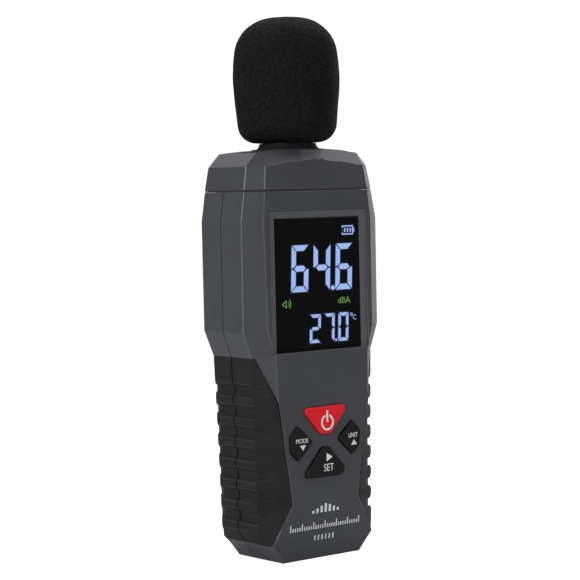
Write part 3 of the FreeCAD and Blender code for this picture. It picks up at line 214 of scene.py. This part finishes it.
case_colour = (0.0292, 0.0312, 0.0366)
# Lighter tones for the bevels of the case and the nose cap: painted highlights along edges that
# catch the light.
case_highlight_colour = (0.046, 0.048, 0.053)
cap_highlight_colour = (0.078, 0.080, 0.086)
# Lighter tone for the sloping rim round the display window: painted highlight.
recess_highlight_colour = (0.050, 0.052, 0.058)
MATERIALS = {
    "case": surface("case_plastic_matte", case_colour, 0.52, 4200, 0.22, 0.03, specular=0.3),
    # Lighter plastic on the bevels of the case and the nose cap: painted highlight.
    "case_highlight": surface("case_plastic_painted_highlight", case_highlight_colour, 0.42, 4200, 0.10, 0.02,
                         specular=0.4),
    # Lighter plastic on the display window's rim: painted highlight.
    "recess": surface("window_rim_painted_highlight", recess_highlight_colour, 0.45, 4200, 0.15, 0.02,
                      specular=0.35),
    "cap_highlight": surface("cap_plastic_painted_highlight", cap_highlight_colour, 0.42, 4200, 0.10, 0.02,
                        specular=0.4),
    "cap": surface("cap_plastic_matte", (0.0275, 0.0290, 0.0338), 0.50, 4200, 0.20, 0.03,
                   specular=0.3),
    "grip": surface("grip_rubber_matte", (0.0080, 0.0080, 0.0082), 0.72, 3200, 0.35, 0.05, 0.12,
                    0.06, specular=0.16),
    # Lighter rubber on the grips' bevels: painted highlight.
    "grip_highlight": surface("grip_rubber_painted_highlight", (0.0150, 0.0150, 0.0155), 0.66, 3200, 0.25, 0.04,
                         0.12, 0.06, specular=0.2),
    "lens": surface("window_gloss_black", (0.0028, 0.0028, 0.0031), 0.12, 900, 0.01, 0.005,
                    0.10, 0.02, specular=0.07),
    "tape": surface("adhesive_black", (0.010, 0.010, 0.010), 0.8, 1500, 0.2),
    "lcd": surface("lcd_glass_dark", (0.02, 0.022, 0.026), 0.1, 900, 0.02, 0.005, 0.05, 0.02),
    "light": surface("light_guide_milky", (0.75, 0.78, 0.82), 0.3, 1500, 0.05),
    "zebra": banded("zebra_strip_rubber", (0.55, 0.40, 0.38), (0.03, 0.03, 0.03), 0.6, 0.6, 0.0),
    "frame": surface("lcd_frame_plastic", (0.60, 0.60, 0.58), 0.5, 2500, 0.15),
    "red": surface("red_key_plastic", (0.50, 0.0080, 0.0120), 0.42, 5200, 0.12, 0.02, 0.07,
                   0.05, specular=0.12),
    "key": surface("black_key_plastic", (0.0032, 0.0032, 0.0036), 0.50, 5200, 0.18, 0.03, 0.10,
                   0.05, specular=0.14),
    "silicone": surface("keypad_silicone", (0.35, 0.36, 0.37), 0.7, 1800, 0.2, sheen=0.1),
    "gold": surface("contact_gold", (0.80, 0.55, 0.20), 0.28, 2500, 0.1, metal=1.0),
    "steel": surface("screw_steel", (0.46, 0.46, 0.47), 0.34, 2600, 0.25, 0.02, 0.10, 0.08,
                     metal=1.0, stretch=(1, 6, 1)),
    "cell": banded("cell_sleeve_film", (0.03, 0.035, 0.05), (0.52, 0.30, 0.10), 44.5, 0.3, 0.3),
    "spring": surface("spring_steel", (0.58, 0.58, 0.57), 0.25, 3000, 0.15, metal=1.0),
    "brass": surface("brass_turned", (0.70, 0.47, 0.18), 0.30, 1400, 0.25, 0.02, 0.08, 0.06,
                     metal=1.0, stretch=(1, 5, 1)),
    # Near-black, darker than the cap: partly the collar's own black plastic, partly painted shade
    # under the foam.
    "collar": surface("collar_black_and_painted_shade", (0.0090, 0.0092, 0.0100), 0.6, 3800, 0.2, 0.03,
                      specular=0.12),
    "mic": surface("microphone_metal", (0.10, 0.10, 0.105), 0.36, 1600, 0.2, 0.02, 0.08, 0.06,
                   metal=1.0, stretch=(1, 1, 9)),
    "grille": surface("microphone_grille", (0.16, 0.16, 0.165), 0.34, 3000, 0.2, metal=1.0),
    "board": surface("board_laminate_green", (0.010, 0.085, 0.038), 0.42, 1600, 0.15, 0.02, 0.3,
                     patch=700.0, second=(0.030, 0.150, 0.060)),
    "chip": surface("chip_epoxy_black", (0.013, 0.013, 0.014), 0.55, 3800, 0.25, mottle=0.2),
    "jacket": surface("cable_jacket_grey", (0.05, 0.05, 0.052), 0.55, 2600, 0.2),
    "wire": surface("wire_jacket_red", (0.30, 0.012, 0.012), 0.5, 2600, 0.2),
    "foam": foam_material("windscreen_foam_black_painted_pores", (0.0037, 0.0036, 0.0041)),
    "digit": lit("digit_light_blue", (0.352, 0.515, 0.960), 0.95),
    "glow": lit("digit_halo_navy", (0.004, 0.007, 0.040), 0.9),
    "green": lit("unit_light_green", (0.165, 0.390, 0.045), 0.75),
    "print": surface("key_print_white", (0.50, 0.51, 0.54), 0.6, 3000, 0.08, 0.01, 0.10),
    "mark": surface("front_print_white", (0.47, 0.48, 0.50), 0.6, 3000, 0.08, 0.01, 0.10),
}
NODE_MATERIAL = {
    "front_shell": "case", "rear_shell": "case", "top_cap": "cap", "battery_door": "case",
    "front_grip_left": "grip", "front_grip_right": "grip", "rear_grip_left": "grip",
    "rear_grip_right": "grip", "display_window": "lens", "window_tape": "tape",
    "lcd_panel": "lcd", "backlight_guide": "light", "zebra_strip": "zebra", "lcd_frame": "frame",
    "power_button": "red", "set_button": "key", "mode_button": "key", "unit_button": "key",
    "keypad_mat": "silicone", "contact_pads": "gold", "case_screws": "steel",
    "pcb_screws": "steel", "cap_screws": "steel", "batteries": "cell",
    "battery_springs": "spring", "battery_contacts": "spring", "tripod_insert": "brass",
    "mic_collar": "collar", "mic_tube": "mic", "mic_capsule": "mic", "mic_seal": "tape",
    "mic_grille": "grille", "windscreen": "foam", "main_pcb": "board", "processor_chip": "chip",
    "amplifier_chip": "chip", "crystal": "spring", "capacitors": "chip",
    "temperature_sensor": "chip", "mic_socket": "frame", "mic_cable": "jacket",
    "battery_wires": "wire",
}
for node, key in NODE_MATERIAL.items():
    NODES[node].data.materials.clear()
    NODES[node].data.materials.append(MATERIALS[key])

# ---------------------------------------------------------------- piece helpers


def add_piece(name, mesh, body, slot, *materials):
    for item in materials:
        mesh.materials.append(MATERIALS[item])
    piece = bpy.data.objects.new(name, mesh)
    scene.collection.objects.link(piece)
    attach(piece, body)
    return piece


def node_tree(node):
    """Search tree over a CAD node's faces."""
    bm = bmesh.new()
    bm.from_mesh(NODES[node].data)
    tree = BVHTree.FromBMesh(bm)
    bm.free()
    return tree


# Edges nearer the parting plane than this, or high up and near the microphone's axis, stay sharp.
PARTING_REACH = 0.4 * MM
NECK_LOW, NECK_REACH = 133.0 * MM, 17.0 * MM
# The nose cap's upper corners, and the widest strip there that is closed to a point.
CORNER_LOW, CORNER_REACH, CORNER_STRIP = 136.8 * MM, 19.0 * MM, 0.55 * MM
# The rim round the display window, which is painted lighter as a highlight: its sides, its top, and
# how far it is from the window's face.
RECESS_X = (18.45 * MM, 20.95 * MM)
RECESS_Z = (115.05 * MM, 117.55 * MM)
RECESS_DEPTH = 0.45 * MM
# Which edges are bevelled: joined below WELD, flat below FLAT_ANGLE, longer than SHORTEST_EDGE,
# turning by LEAST_ANGLE or more, and open to the outside CLEAR_OF away.  Angles are in degrees
# and CLEAR_OF is in mm.
WELD = 0.002 * MM
FLAT_ANGLE = 0.7
SHORTEST_EDGE = 0.8 * MM
LEAST_ANGLE = 9.0
CLEAR_OF = 0.05
# A bevel counts as level while the upward part of its direction is below this; each part sets
# whether its level or its steep bevels take the painted highlight.
LEVEL_SLOPE = 0.5
SHELL_BEVEL, DOOR_BEVEL, GRIP_BEVEL = 0.26, 0.15, 0.22
window_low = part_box("display_window")[0]


def join_narrow(bm):
    """Close the hair-wide strips at the nose cap's upper corners into clean points."""
    corners = [vert for vert in bm.verts
               if vert.co.z > CORNER_LOW and abs(vert.co.x) > CORNER_REACH]
    bmesh.ops.remove_doubles(bm, verts=corners, dist=CORNER_STRIP)


def in_recess(face):
    """True for the sloping rim round the display window, which is painted lighter as a highlight.
    """
    middle = face.calc_center_median()
    beside = RECESS_X[0] < abs(middle.x) < RECESS_X[1] and middle.z < RECESS_Z[1]
    above = RECESS_Z[0] < middle.z < RECESS_Z[1] and abs(middle.x) < RECESS_X[1]
    outer = window_low.y - RECESS_DEPTH < middle.y < window_low.y + RECESS_DEPTH
    return (beside or above) and outer and middle.z > window_low.z and face.normal.y < -0.5


def softened(node, body, slot, width, material, highlight_material, highlight_on_level, sharp=33):
    """Copy of a moulded CAD part whose outer corners are broken by a small rounded bevel.

    The width is in mm.  When the level flag is true the level bevels take the lighter edge
    material, a painted highlight, and when it is false the steep ones do; the rest keep the part's
    own material."""
    bm = bmesh.new()
    bm.from_mesh(NODES[node].data)
    bmesh.ops.remove_doubles(bm, verts=bm.verts, dist=WELD)
    if node == "top_cap":
        join_narrow(bm)
    bmesh.ops.dissolve_limit(bm, angle_limit=math.radians(FLAT_ANGLE), verts=bm.verts,
                             edges=bm.edges)
    bm.normal_update()
    tree = BVHTree.FromBMesh(bm)
    chosen = []
    for edge in bm.edges:
        if len(edge.link_faces) != 2 or edge.calc_length() < SHORTEST_EDGE:
            continue
        if edge.calc_face_angle_signed() < math.radians(LEAST_ANGLE):
            continue
        outward = (edge.link_faces[0].normal + edge.link_faces[1].normal).normalized()
        middle = (edge.verts[0].co + edge.verts[1].co) / 2
        at_parting = max(abs(vert.co.y) for vert in edge.verts) < PARTING_REACH
        at_neck = middle.z > NECK_LOW and math.hypot(middle.x, middle.y) < NECK_REACH
        if at_parting or at_neck:
            continue
        if tree.ray_cast(middle + outward * CLEAR_OF * MM, outward)[0] is None:
            chosen.append(edge)
    bmesh.ops.bevel(bm, geom=chosen, offset=width * MM, offset_type="OFFSET", segments=2,
                    profile=0.5, affect="EDGES", clamp_overlap=False, material=1,
                    miter_outer="SHARP")
    for face in bm.faces:
        if face.material_index == 1:
            longest = max(face.edges, key=lambda edge: edge.calc_length())
            run = (longest.verts[1].co - longest.verts[0].co).normalized()
            # Either the level or the steep bevels, as set per part, keep the lighter edge material
            # as a painted highlight; the others return to the part's own material.
            face.material_index = int((abs(run.z) < LEVEL_SLOPE) == highlight_on_level)
        # The window's sloping rim takes the lighter recess material, a painted highlight.
        if node == "front_shell" and in_recess(face):
            face.material_index = 2
    mesh = bpy.data.meshes.new(node + "_skin")
    bm.to_mesh(mesh)
    bm.free()
    mesh.polygons.foreach_set("use_smooth", [True] * len(mesh.polygons))
    mesh.set_sharp_from_angle(angle=math.radians(sharp))
    piece = add_piece(node + "_skin", mesh, body, slot, material, highlight_material, "recess")
    even = piece.modifiers.new("even_normals", "WEIGHTED_NORMAL")
    even.keep_sharp = True
    even.weight = 100
    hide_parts(node)


# Case and nose cap: their steep bevels take the lighter edge material, a painted highlight.
for node, width in (("front_shell", SHELL_BEVEL), ("rear_shell", SHELL_BEVEL),
                    ("battery_door", DOOR_BEVEL)):
    body = "door" if node == "battery_door" else "meter"
    softened(node, body, "case_plastic", width, "case", "case_highlight", False)
softened("top_cap", "meter", "case_plastic", SHELL_BEVEL, "cap", "cap_highlight", False, sharp=12)
# Grips: their level bevels take the lighter edge material, a painted highlight.
for node in ("front_grip_left", "front_grip_right", "rear_grip_left", "rear_grip_right"):
    softened(node, "meter", "grip_rubber", GRIP_BEVEL, "grip", "grip_highlight", True)

# ---------------------------------------------------------------- seam shade band (painted shade)

# Outline of the case at the seam, right half, front to back, mm; and how much of an inset the
# slanted corners take.
SEAM_RIGHT = ((22.4, -15.0), (27.8, -10.8), (27.8, 10.7), (22.4, 15.0))
CORNER_SHARE = 0.41
# Insets and heights in mm of the dark band that stands in for the groove's shade.
SHADE_BAND_OUTER, SHADE_BAND_INNER = 0.30, 0.86
SHADE_BAND_LOW, SHADE_BAND_HIGH = 124.24, 124.66


def seam_outline(inset):
    front, side, side_rear, rear = SEAM_RIGHT
    less = inset * CORNER_SHARE
    right = [(front[0] - less, front[1] + inset), (side[0] - inset, side[1] + less),
             (side_rear[0] - inset, side_rear[1] - less), (rear[0] - less, rear[1] - inset)]
    return right + [(-x, y) for x, y in reversed(right)]


def shade_band(outer_inset, inner_inset, low, high):
    """Thin dark band that fills the groove between the shells and the nose cap, as painted shade in
    the groove.
    """
    bm = bmesh.new()
    rings = [[bm.verts.new(Vector((x, y, z)) * MM) for x, y in seam_outline(inset)]
             for inset, z in ((outer_inset, low), (outer_inset, high), (inner_inset, high),
                              (inner_inset, low))]
    for ring, following in zip(rings, rings[1:] + rings[:1]):
        for index in range(len(ring)):
            after = (index + 1) % len(ring)
            bm.faces.new((ring[index], ring[after], following[after], following[index]))
    bmesh.ops.recalc_face_normals(bm, faces=bm.faces)
    mesh = bpy.data.meshes.new("seam_shade_band")
    bm.to_mesh(mesh)
    bm.free()
    return mesh


# A dark band put in the seam's groove: painted shade.
add_piece("seam_shade_band", shade_band(SHADE_BAND_OUTER, SHADE_BAND_INNER, SHADE_BAND_LOW, SHADE_BAND_HIGH), "meter",
          "grip_rubber", "tape")

# ---------------------------------------------------------------- foam windscreen

FOAM_RINGS, FOAM_SPOKES = 230, 320
foam_low, foam_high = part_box("windscreen")
bore_radius = 6.5 * MM
bore_end = 171.0 * MM
# Pores and lumps are pressed in towards this stretch of the axis, in metres.
CORE_LOW, CORE_HIGH = 0.150, 0.171
PORE_SCALE, PORE_REACH, PORE_DEPTH = 1150, 0.42, 0.30
LUMP_SCALE, LUMP_DEPTH = 260, 0.07
SKIN_DEPTH = 0.05
CROWN_DROP = 0.1 * MM
BORE_ROWS = 3
# The outline is found by rays that start this far out, in mm.
OUTSIDE = 60


def foam_profile():
    """(radius, height) from the bore's mouth round the outside to the top, from the CAD solid."""
    tree = node_tree("windscreen")
    middle = Vector((0, 0, (foam_low.z + foam_high.z) / 2))
    lowest = -math.atan2(middle.z - foam_low.z, bore_radius + 0.1 * MM)
    points = []
    for ring in range(FOAM_RINGS):
        angle = lowest + (math.pi / 2 - lowest) * ring / (FOAM_RINGS - 1)
        away = Vector((math.cos(angle), 0, math.sin(angle)))
        hit = tree.ray_cast(middle + away * OUTSIDE * MM, -away)[0]
        points.append((max(hit.x, 0.0), hit.z))
    return points


def foam_mesh():
    """Windscreen with its bore, and pores and lumps pressed into the outside."""
    rings = [(bore_radius, bore_end), (bore_radius, (bore_end + foam_low.z) / 2),
             (bore_radius, foam_low.z)] + foam_profile()[:-1]
    bm = bmesh.new()
    rows = []
    for index, (radius, height) in enumerate(rings):
        row = []
        for spoke in range(FOAM_SPOKES):
            angle = 2 * math.pi * spoke / FOAM_SPOKES
            place = Vector((radius * math.cos(angle), radius * math.sin(angle), height))
            if index >= BORE_ROWS:
                centre = Vector((0, 0, min(max(height, CORE_LOW), CORE_HIGH)))
                inward = (centre - place).normalized()
                near = noise.voronoi(place * PORE_SCALE)[0]
                pore = max(0.0, 1 - (near[0] / PORE_REACH) ** 2)
                lump = noise.noise(place * LUMP_SCALE)
                depth = SKIN_DEPTH + PORE_DEPTH * pore + LUMP_DEPTH * (1 + lump)
                place += inward * depth * MM
            row.append(bm.verts.new(place))
        rows.append(row)
    for low_row, high_row in zip(rows, rows[1:]):
        for spoke in range(FOAM_SPOKES):
            following = (spoke + 1) % FOAM_SPOKES
            bm.faces.new((low_row[spoke], low_row[following], high_row[following],
                          high_row[spoke]))
    crown = bm.verts.new((0, 0, foam_high.z - CROWN_DROP))
    blind = bm.verts.new((0, 0, bore_end))
    for spoke in range(FOAM_SPOKES):
        following = (spoke + 1) % FOAM_SPOKES
        bm.faces.new((rows[-1][spoke], rows[-1][following], crown))
        bm.faces.new((rows[0][following], rows[0][spoke], blind))
    bmesh.ops.recalc_face_normals(bm, faces=bm.faces)
    mesh = bpy.data.meshes.new("foam_windscreen")
    bm.to_mesh(mesh)
    bm.free()
    mesh.polygons.foreach_set("use_smooth", [True] * len(mesh.polygons))
    return mesh


foam = add_piece("foam_windscreen", foam_mesh(), "foam_ball", "windscreen_foam", "foam")
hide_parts("windscreen")

# ---------------------------------------------------------------- flat marks


# How far the marks reach into the face under them, and how far each kind stands off it, in mm.
MARK_SINK = 0.02
LIT_RISE, HALO_RISE, KEY_RISE, PRINT_RISE = 0.03, 0.012, 0.04, 0.07


def plates(name, outlines, depth, rise, body, slot, material):
    """Thin raised plates from closed (x, z) outlines in mm; depth(x, z) is the face under them."""
    bm = bmesh.new()
    for outline in outlines:
        front = [bm.verts.new(Vector((x, depth(x, z) - rise, z)) * MM) for x, z in outline]
        back = [bm.verts.new(Vector((x, depth(x, z) + MARK_SINK, z)) * MM) for x, z in outline]
        bm.faces.new(front)
        bm.faces.new(back[::-1])
        for index in range(len(outline)):
            after = (index + 1) % len(outline)
            bm.faces.new((front[index], back[index], back[after], front[after]))
    bmesh.ops.recalc_face_normals(bm, faces=bm.faces)
    mesh = bpy.data.meshes.new(name)
    bm.to_mesh(mesh)
    bm.free()
    return add_piece(name, mesh, body, slot, material)


def grown(outline, distance):
    """A convex outline with every side moved outwards."""
    turn = sum(x0 * z1 - x1 * z0 for (x0, z0), (x1, z1) in zip(outline, outline[1:] + outline[:1]))
    hand = 1 if turn > 0 else -1
    sides = []
    for (x0, z0), (x1, z1) in zip(outline, outline[1:] + outline[:1]):
        length = math.hypot(x1 - x0, z1 - z0)
        shift = Vector(((z1 - z0), -(x1 - x0))) * (hand * distance / length)
        sides.append((Vector((x0, z0)) + shift, Vector((x1 - x0, z1 - z0)) / length))
    points = []
    for (place0, way0), (place1, way1) in zip(sides[-1:] + sides[:-1], sides):
        across = way0.x * way1.y - way0.y * way1.x
        gap = place1 - place0
        along = (gap.x * way1.y - gap.y * way1.x) / across
        points.append(tuple(place0 + way0 * along))
    return points


def disc(x, z, radius, count=20):
    return [(x + radius * math.cos(2 * math.pi * k / count),
             z + radius * math.sin(2 * math.pi * k / count)) for k in range(count)]


def arc_band(x, z, inner, outer, start, end, count=18):
    """Strips of a ring between two angles in degrees, as small four-cornered outlines."""
    strips = []
    for k in range(count):
        first, last = (math.radians(start + (end - start) * (k + step) / count)
                       for step in (0, 1))
        strips.append([(x + r * math.cos(a), z + r * math.sin(a))
                       for r, a in ((inner, first), (outer, first), (outer, last),
                                    (inner, last))])
    return strips


def stroke(x0, z0, x1, z1, width):
    """Straight bar between two points."""
    length = math.hypot(x1 - x0, z1 - z0)
    across = ((z1 - z0) * width / 2 / length, -(x1 - x0) * width / 2 / length)
    return [(x0 + across[0], z0 + across[1]), (x1 + across[0], z1 + across[1]),
            (x1 - across[0], z1 - across[1]), (x0 - across[0], z0 - across[1])]


def lettering(name, text, low, high, depth, rise, body, material):
    """Plain sans lettering fitted to a box in mm and raised slightly from a flat face."""
    curve = bpy.data.curves.new(name, "FONT")
    curve.body = text
    curve.resolution_u = 3
    holder = bpy.data.objects.new(name, curve)
    flat = bpy.data.meshes.new_from_object(holder)
    bpy.data.objects.remove(holder)
    flat.name = name
    xs = [v.co.x for v in flat.vertices]
    ys = [v.co.y for v in flat.vertices]
    bm = bmesh.new()
    bm.from_mesh(flat)
    for vert in bm.verts:
        share_x = (vert.co.x - min(xs)) / (max(xs) - min(xs))
        share_z = (vert.co.y - min(ys)) / (max(ys) - min(ys))
        x = low[0] + (high[0] - low[0]) * share_x
        z = low[1] + (high[1] - low[1]) * share_z
        vert.co = Vector((x, depth - rise, z)) * MM
    grown_faces = bmesh.ops.extrude_face_region(bm, geom=bm.faces[:])
    moved = [item for item in grown_faces["geom"] if isinstance(item, bmesh.types.BMVert)]
    bmesh.ops.translate(bm, verts=moved, vec=(0, (rise + MARK_SINK) * MM, 0))
    bmesh.ops.recalc_face_normals(bm, faces=bm.faces)
    bm.to_mesh(flat)
    bm.free()
    return add_piece(name, flat, body, None, material)


# ---------------------------------------------------------------- display

LENS = window_low.y / MM
SLANT = 0.045
HALO_MARGIN = 0.34


def lens_face(x, z):
    return LENS


SEGMENTS = {"2": "abged", "4": "fgbc", "6": "afgecd", "7": "abc", "0": "abcdef"}


def digit(character, left, low, width, height, bar, gap):
    """Lit segments of one seven-segment digit, slanted a little."""
    middle, half = height / 2, bar / 2
    inner_right, inner_top = width - bar, height - bar
    shapes = {
        "a": [(gap, height), (width - gap, height), (inner_right - gap, inner_top),
              (bar + gap, inner_top)],
        "d": [(gap, 0), (width - gap, 0), (inner_right - gap, bar), (bar + gap, bar)],
        "f": [(0, height - gap), (bar, inner_top - gap), (bar, middle + half + gap),
              (half * 0.7, middle + gap), (0, middle + gap)],
        "g": [(half + gap, middle), (bar + gap, middle + half), (inner_right - gap, middle + half),
              (width - half - gap, middle), (inner_right - gap, middle - half),
              (bar + gap, middle - half)],
    }
    shapes["e"] = [(x, height - z) for x, z in shapes["f"]]
    shapes["b"] = [(width - x, z) for x, z in shapes["f"]]
    shapes["c"] = [(width - x, height - z) for x, z in shapes["f"]]
    return [[(left + x + SLANT * z, low + z) for x, z in shapes[segment]]
            for segment in SEGMENTS[character]]


big = [outline for character, left in (("6", -12.0), ("4", -2.45), ("6", 7.3))
       for outline in digit(character, left, 90.45, 7.35, 15.6, 1.9, 0.26)]
big.append(disc(6.28, 91.25, 0.78))
small = [outline for character, left, width in (("2", -4.45, 4.75), ("7", 1.85, 4.55),
                                                ("0", 8.1, 4.5))
         for outline in digit(character, left, 73.0, width, 9.6, 1.1, 0.18)]
small.append(disc(7.22, 73.55, 0.42))
battery = [stroke(10.9, 111.9, 15.7, 111.9, 0.4), stroke(10.9, 109.15, 15.7, 109.15, 0.4),
           stroke(15.6, 112.1, 15.6, 109.0, 0.4), stroke(16.05, 111.3, 16.05, 109.8, 0.5),
           stroke(10.95, 112.1, 10.95, 111.4, 0.4), stroke(10.95, 109.7, 10.95, 109.0, 0.4)]
battery += [stroke(x, 111.2, x, 109.85, 0.55) for x in (12.1, 13.35, 14.6)]
degree = arc_band(14.35, 81.75, 0.32, 0.58, 0, 360, 14)
speaker = [stroke(-15.9, 86.65, -14.1, 87.85, 0.32), stroke(-15.9, 86.65, -14.1, 85.45, 0.32),
           stroke(-14.15, 87.95, -14.15, 85.35, 0.32)]
speaker += arc_band(-14.9, 86.65, 1.75, 2.0, -30, 30, 6)
speaker += arc_band(-14.9, 86.65, 2.5, 2.8, -34, 34, 8)
for name, outlines, material in (
        ("reading_digits", big, "digit"), ("temperature_digits", small, "digit"),
        ("battery_symbol", battery, "digit"), ("degree_ring", degree, "digit"),
        ("speaker_symbol", speaker, "green")):
    plates(name, outlines, lens_face, LIT_RISE, "meter", "lcd_glass", material)
halo = [grown(outline, HALO_MARGIN) for outline in big + small]
halo.append([(10.6, 108.8), (16.0, 108.8), (16.0, 112.3), (10.6, 112.3)])
plates("digit_halo", halo, lens_face, HALO_RISE, "meter", "lcd_glass", "glow")
lettering("celsius_letter", "C", (14.95, 79.9), (16.4, 81.6), LENS, LIT_RISE, "meter", "digit")
lettering("decibel_letters", "dBA", (8.4, 85.8), (13.9, 87.9), LENS, LIT_RISE, "meter", "green")

# ---------------------------------------------------------------- key marks

key_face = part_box("power_button")[0].y / MM


def key_plane(x, z):
    return key_face


power_mark = arc_band(0.55, 46.2, 2.1, 2.75, 112, 428, 40)
power_mark.append(stroke(0.55, 50.2, 0.55, 46.3, 0.7))
plates("power_mark", power_mark, key_plane, KEY_RISE, "power_key", None, "print")
plates("set_mark", [[(-0.15, 35.8), (-0.15, 33.0), (2.4, 34.4)]], key_plane, KEY_RISE, "set_key",
       None, "print")
plates("mode_mark", [[(-11.6, 39.4), (-9.1, 39.4), (-10.35, 37.6)]], key_plane, KEY_RISE,
       "mode_key", None, "print")
plates("unit_mark", [[(10.95, 37.5), (13.4, 37.5), (12.2, 39.3)]], key_plane, KEY_RISE,
       "unit_key", None, "print")
lettering("set_letters", "SET", (-1.4, 29.7), (2.9, 32.2), key_face, KEY_RISE, "set_key",
          "print")
lettering("mode_letters", "MODE", (-13.2, 40.2), (-8.0, 41.7), key_face, KEY_RISE, "mode_key",
          "print")
lettering("unit_letters", "UNIT", (9.8, 40.0), (13.9, 41.6), key_face, KEY_RISE, "unit_key",
          "print")

# ---------------------------------------------------------------- printed scale on the front

front_tree = node_tree("front_shell")


def front_face(x, z):
    """Depth of the case's front surface, mm."""
    hit = front_tree.ray_cast(Vector((x, -40, z)) * MM, Vector((0, 1, 0)))[0]
    return hit.y / MM


level_bars = [stroke(x, 15.8, x, 15.8 + height, 0.9)
              for x, height in zip((-5.4, -3.6, -1.8, 0.0, 1.8, 3.6, 5.4),
                                   (0.9, 1.5, 2.2, 2.9, 2.4, 1.6, 1.0))]
ticks = [stroke(tick, 10.35, tick, 12.7 if tick % 5 == 0 else 11.6, 0.42)
         for tick in range(-15, 16)]
short_row = [stroke(x, 6.3, x, 8.1, 0.5) for x in (-4.0, -2.4, -0.8, 0.8, 2.4, 4.0)]
plates("printed_scale", level_bars + ticks + short_row, front_face, PRINT_RISE, "meter", None,
       "mark")

# ---------------------------------------------------------------- floor, world and lights


FLOOR_GLOW = 0.72


def build_floor(radius, solid_to):
    """Pale floor that fades into the backdrop, radii in metres.

    It also shines towards the camera, so it looks as white as the backdrop and shows no shadow."""
    bm = bmesh.new()
    bmesh.ops.create_circle(bm, cap_ends=True, segments=96, radius=radius)
    mesh = bpy.data.meshes.new("floor")
    bm.to_mesh(mesh)
    bm.free()
    made, nodes, links, shader = new_material("floor_white")
    place = nodes.new("ShaderNodeTexCoord").outputs["Object"]
    factor = ranged(nodes, links, noise_node(nodes, links, place, 3.0), 0, 1)
    links.new(blend_colours(nodes, links, factor, (0.60, 0.60, 0.60), (0.62, 0.62, 0.62)),
              shader.inputs["Base Color"])
    shader.inputs["Roughness"].default_value = 0.9
    shader.inputs["Specular IOR Level"].default_value = 0.1
    shader.inputs["Emission Color"].default_value = (1, 1, 1, 1)
    glow = nodes.new("ShaderNodeMath")
    glow.operation = "MULTIPLY"
    glow.inputs[1].default_value = FLOOR_GLOW
    links.new(nodes.new("ShaderNodeLightPath").outputs["Is Camera Ray"], glow.inputs[0])
    links.new(glow.outputs[0], shader.inputs["Emission Strength"])
    length = nodes.new("ShaderNodeVectorMath")
    length.operation = "LENGTH"
    links.new(place, length.inputs[0])
    fade = nodes.new("ShaderNodeMapRange")
    fade.interpolation_type = "SMOOTHSTEP"
    fade.inputs["From Min"].default_value = solid_to
    fade.inputs["From Max"].default_value = radius * 0.98
    links.new(length.outputs["Value"], fade.inputs["Value"])
    mixer = nodes.new("ShaderNodeMixShader")
    links.new(fade.outputs["Result"], mixer.inputs[0])
    links.new(shader.outputs[0], mixer.inputs[1])
    links.new(nodes.new("ShaderNodeBsdfTransparent").outputs[0], mixer.inputs[2])
    links.new(mixer.outputs[0], nodes["Material Output"].inputs[0])
    mesh.materials.append(made)
    floor = bpy.data.objects.new("floor", mesh)
    scene.collection.objects.link(floor)


def build_world(seen, given):
    """White to the camera, dimmer as a light."""
    world = bpy.data.worlds.new("studio")
    world.use_nodes = True
    nodes, links = world.node_tree.nodes, world.node_tree.links
    backdrop = nodes["Background"]
    sky = nodes.new("ShaderNodeBackground")
    sky.inputs["Strength"].default_value = given
    backdrop.inputs["Color"].default_value = (1, 1, 1, 1)
    backdrop.inputs["Strength"].default_value = seen
    mixer = nodes.new("ShaderNodeMixShader")
    links.new(nodes.new("ShaderNodeLightPath").outputs["Is Camera Ray"], mixer.inputs[0])
    links.new(sky.outputs[0], mixer.inputs[1])
    links.new(backdrop.outputs[0], mixer.inputs[2])
    links.new(mixer.outputs[0], nodes["World Output"].inputs[0])
    scene.world = world


def softbox(name, place, aim, size, power):
    data = bpy.data.lights.new(name, "AREA")
    data.shape = "RECTANGLE"
    data.size, data.size_y = size
    data.energy = power
    lamp = bpy.data.objects.new(name, data)
    scene.collection.objects.link(lamp)
    lamp.location = place
    lamp.rotation_euler = (Vector(aim) - Vector(place)).to_track_quat("-Z", "Y").to_euler()


build_floor(radius=0.75, solid_to=0.20)
build_world(seen=1.05, given=0.36)
MIDDLE = (0, 0, 0.09)
softbox("key_left", (-1.15, -0.25, 0.55), MIDDLE, (0.7, 0.9), 18)
softbox("fill_front", (0.15, -1.25, 0.60), MIDDLE, (0.9, 0.7), 5.4)
softbox("top_back", (0.15, 0.55, 1.15), MIDDLE, (1.1, 0.8), 13)
softbox("slope_right", (0.76, -0.20, 1.05), MIDDLE, (0.6, 0.6), 7)
softbox("rim_right", (1.05, 0.35, 0.35), MIDDLE, (0.4, 0.9), 3)
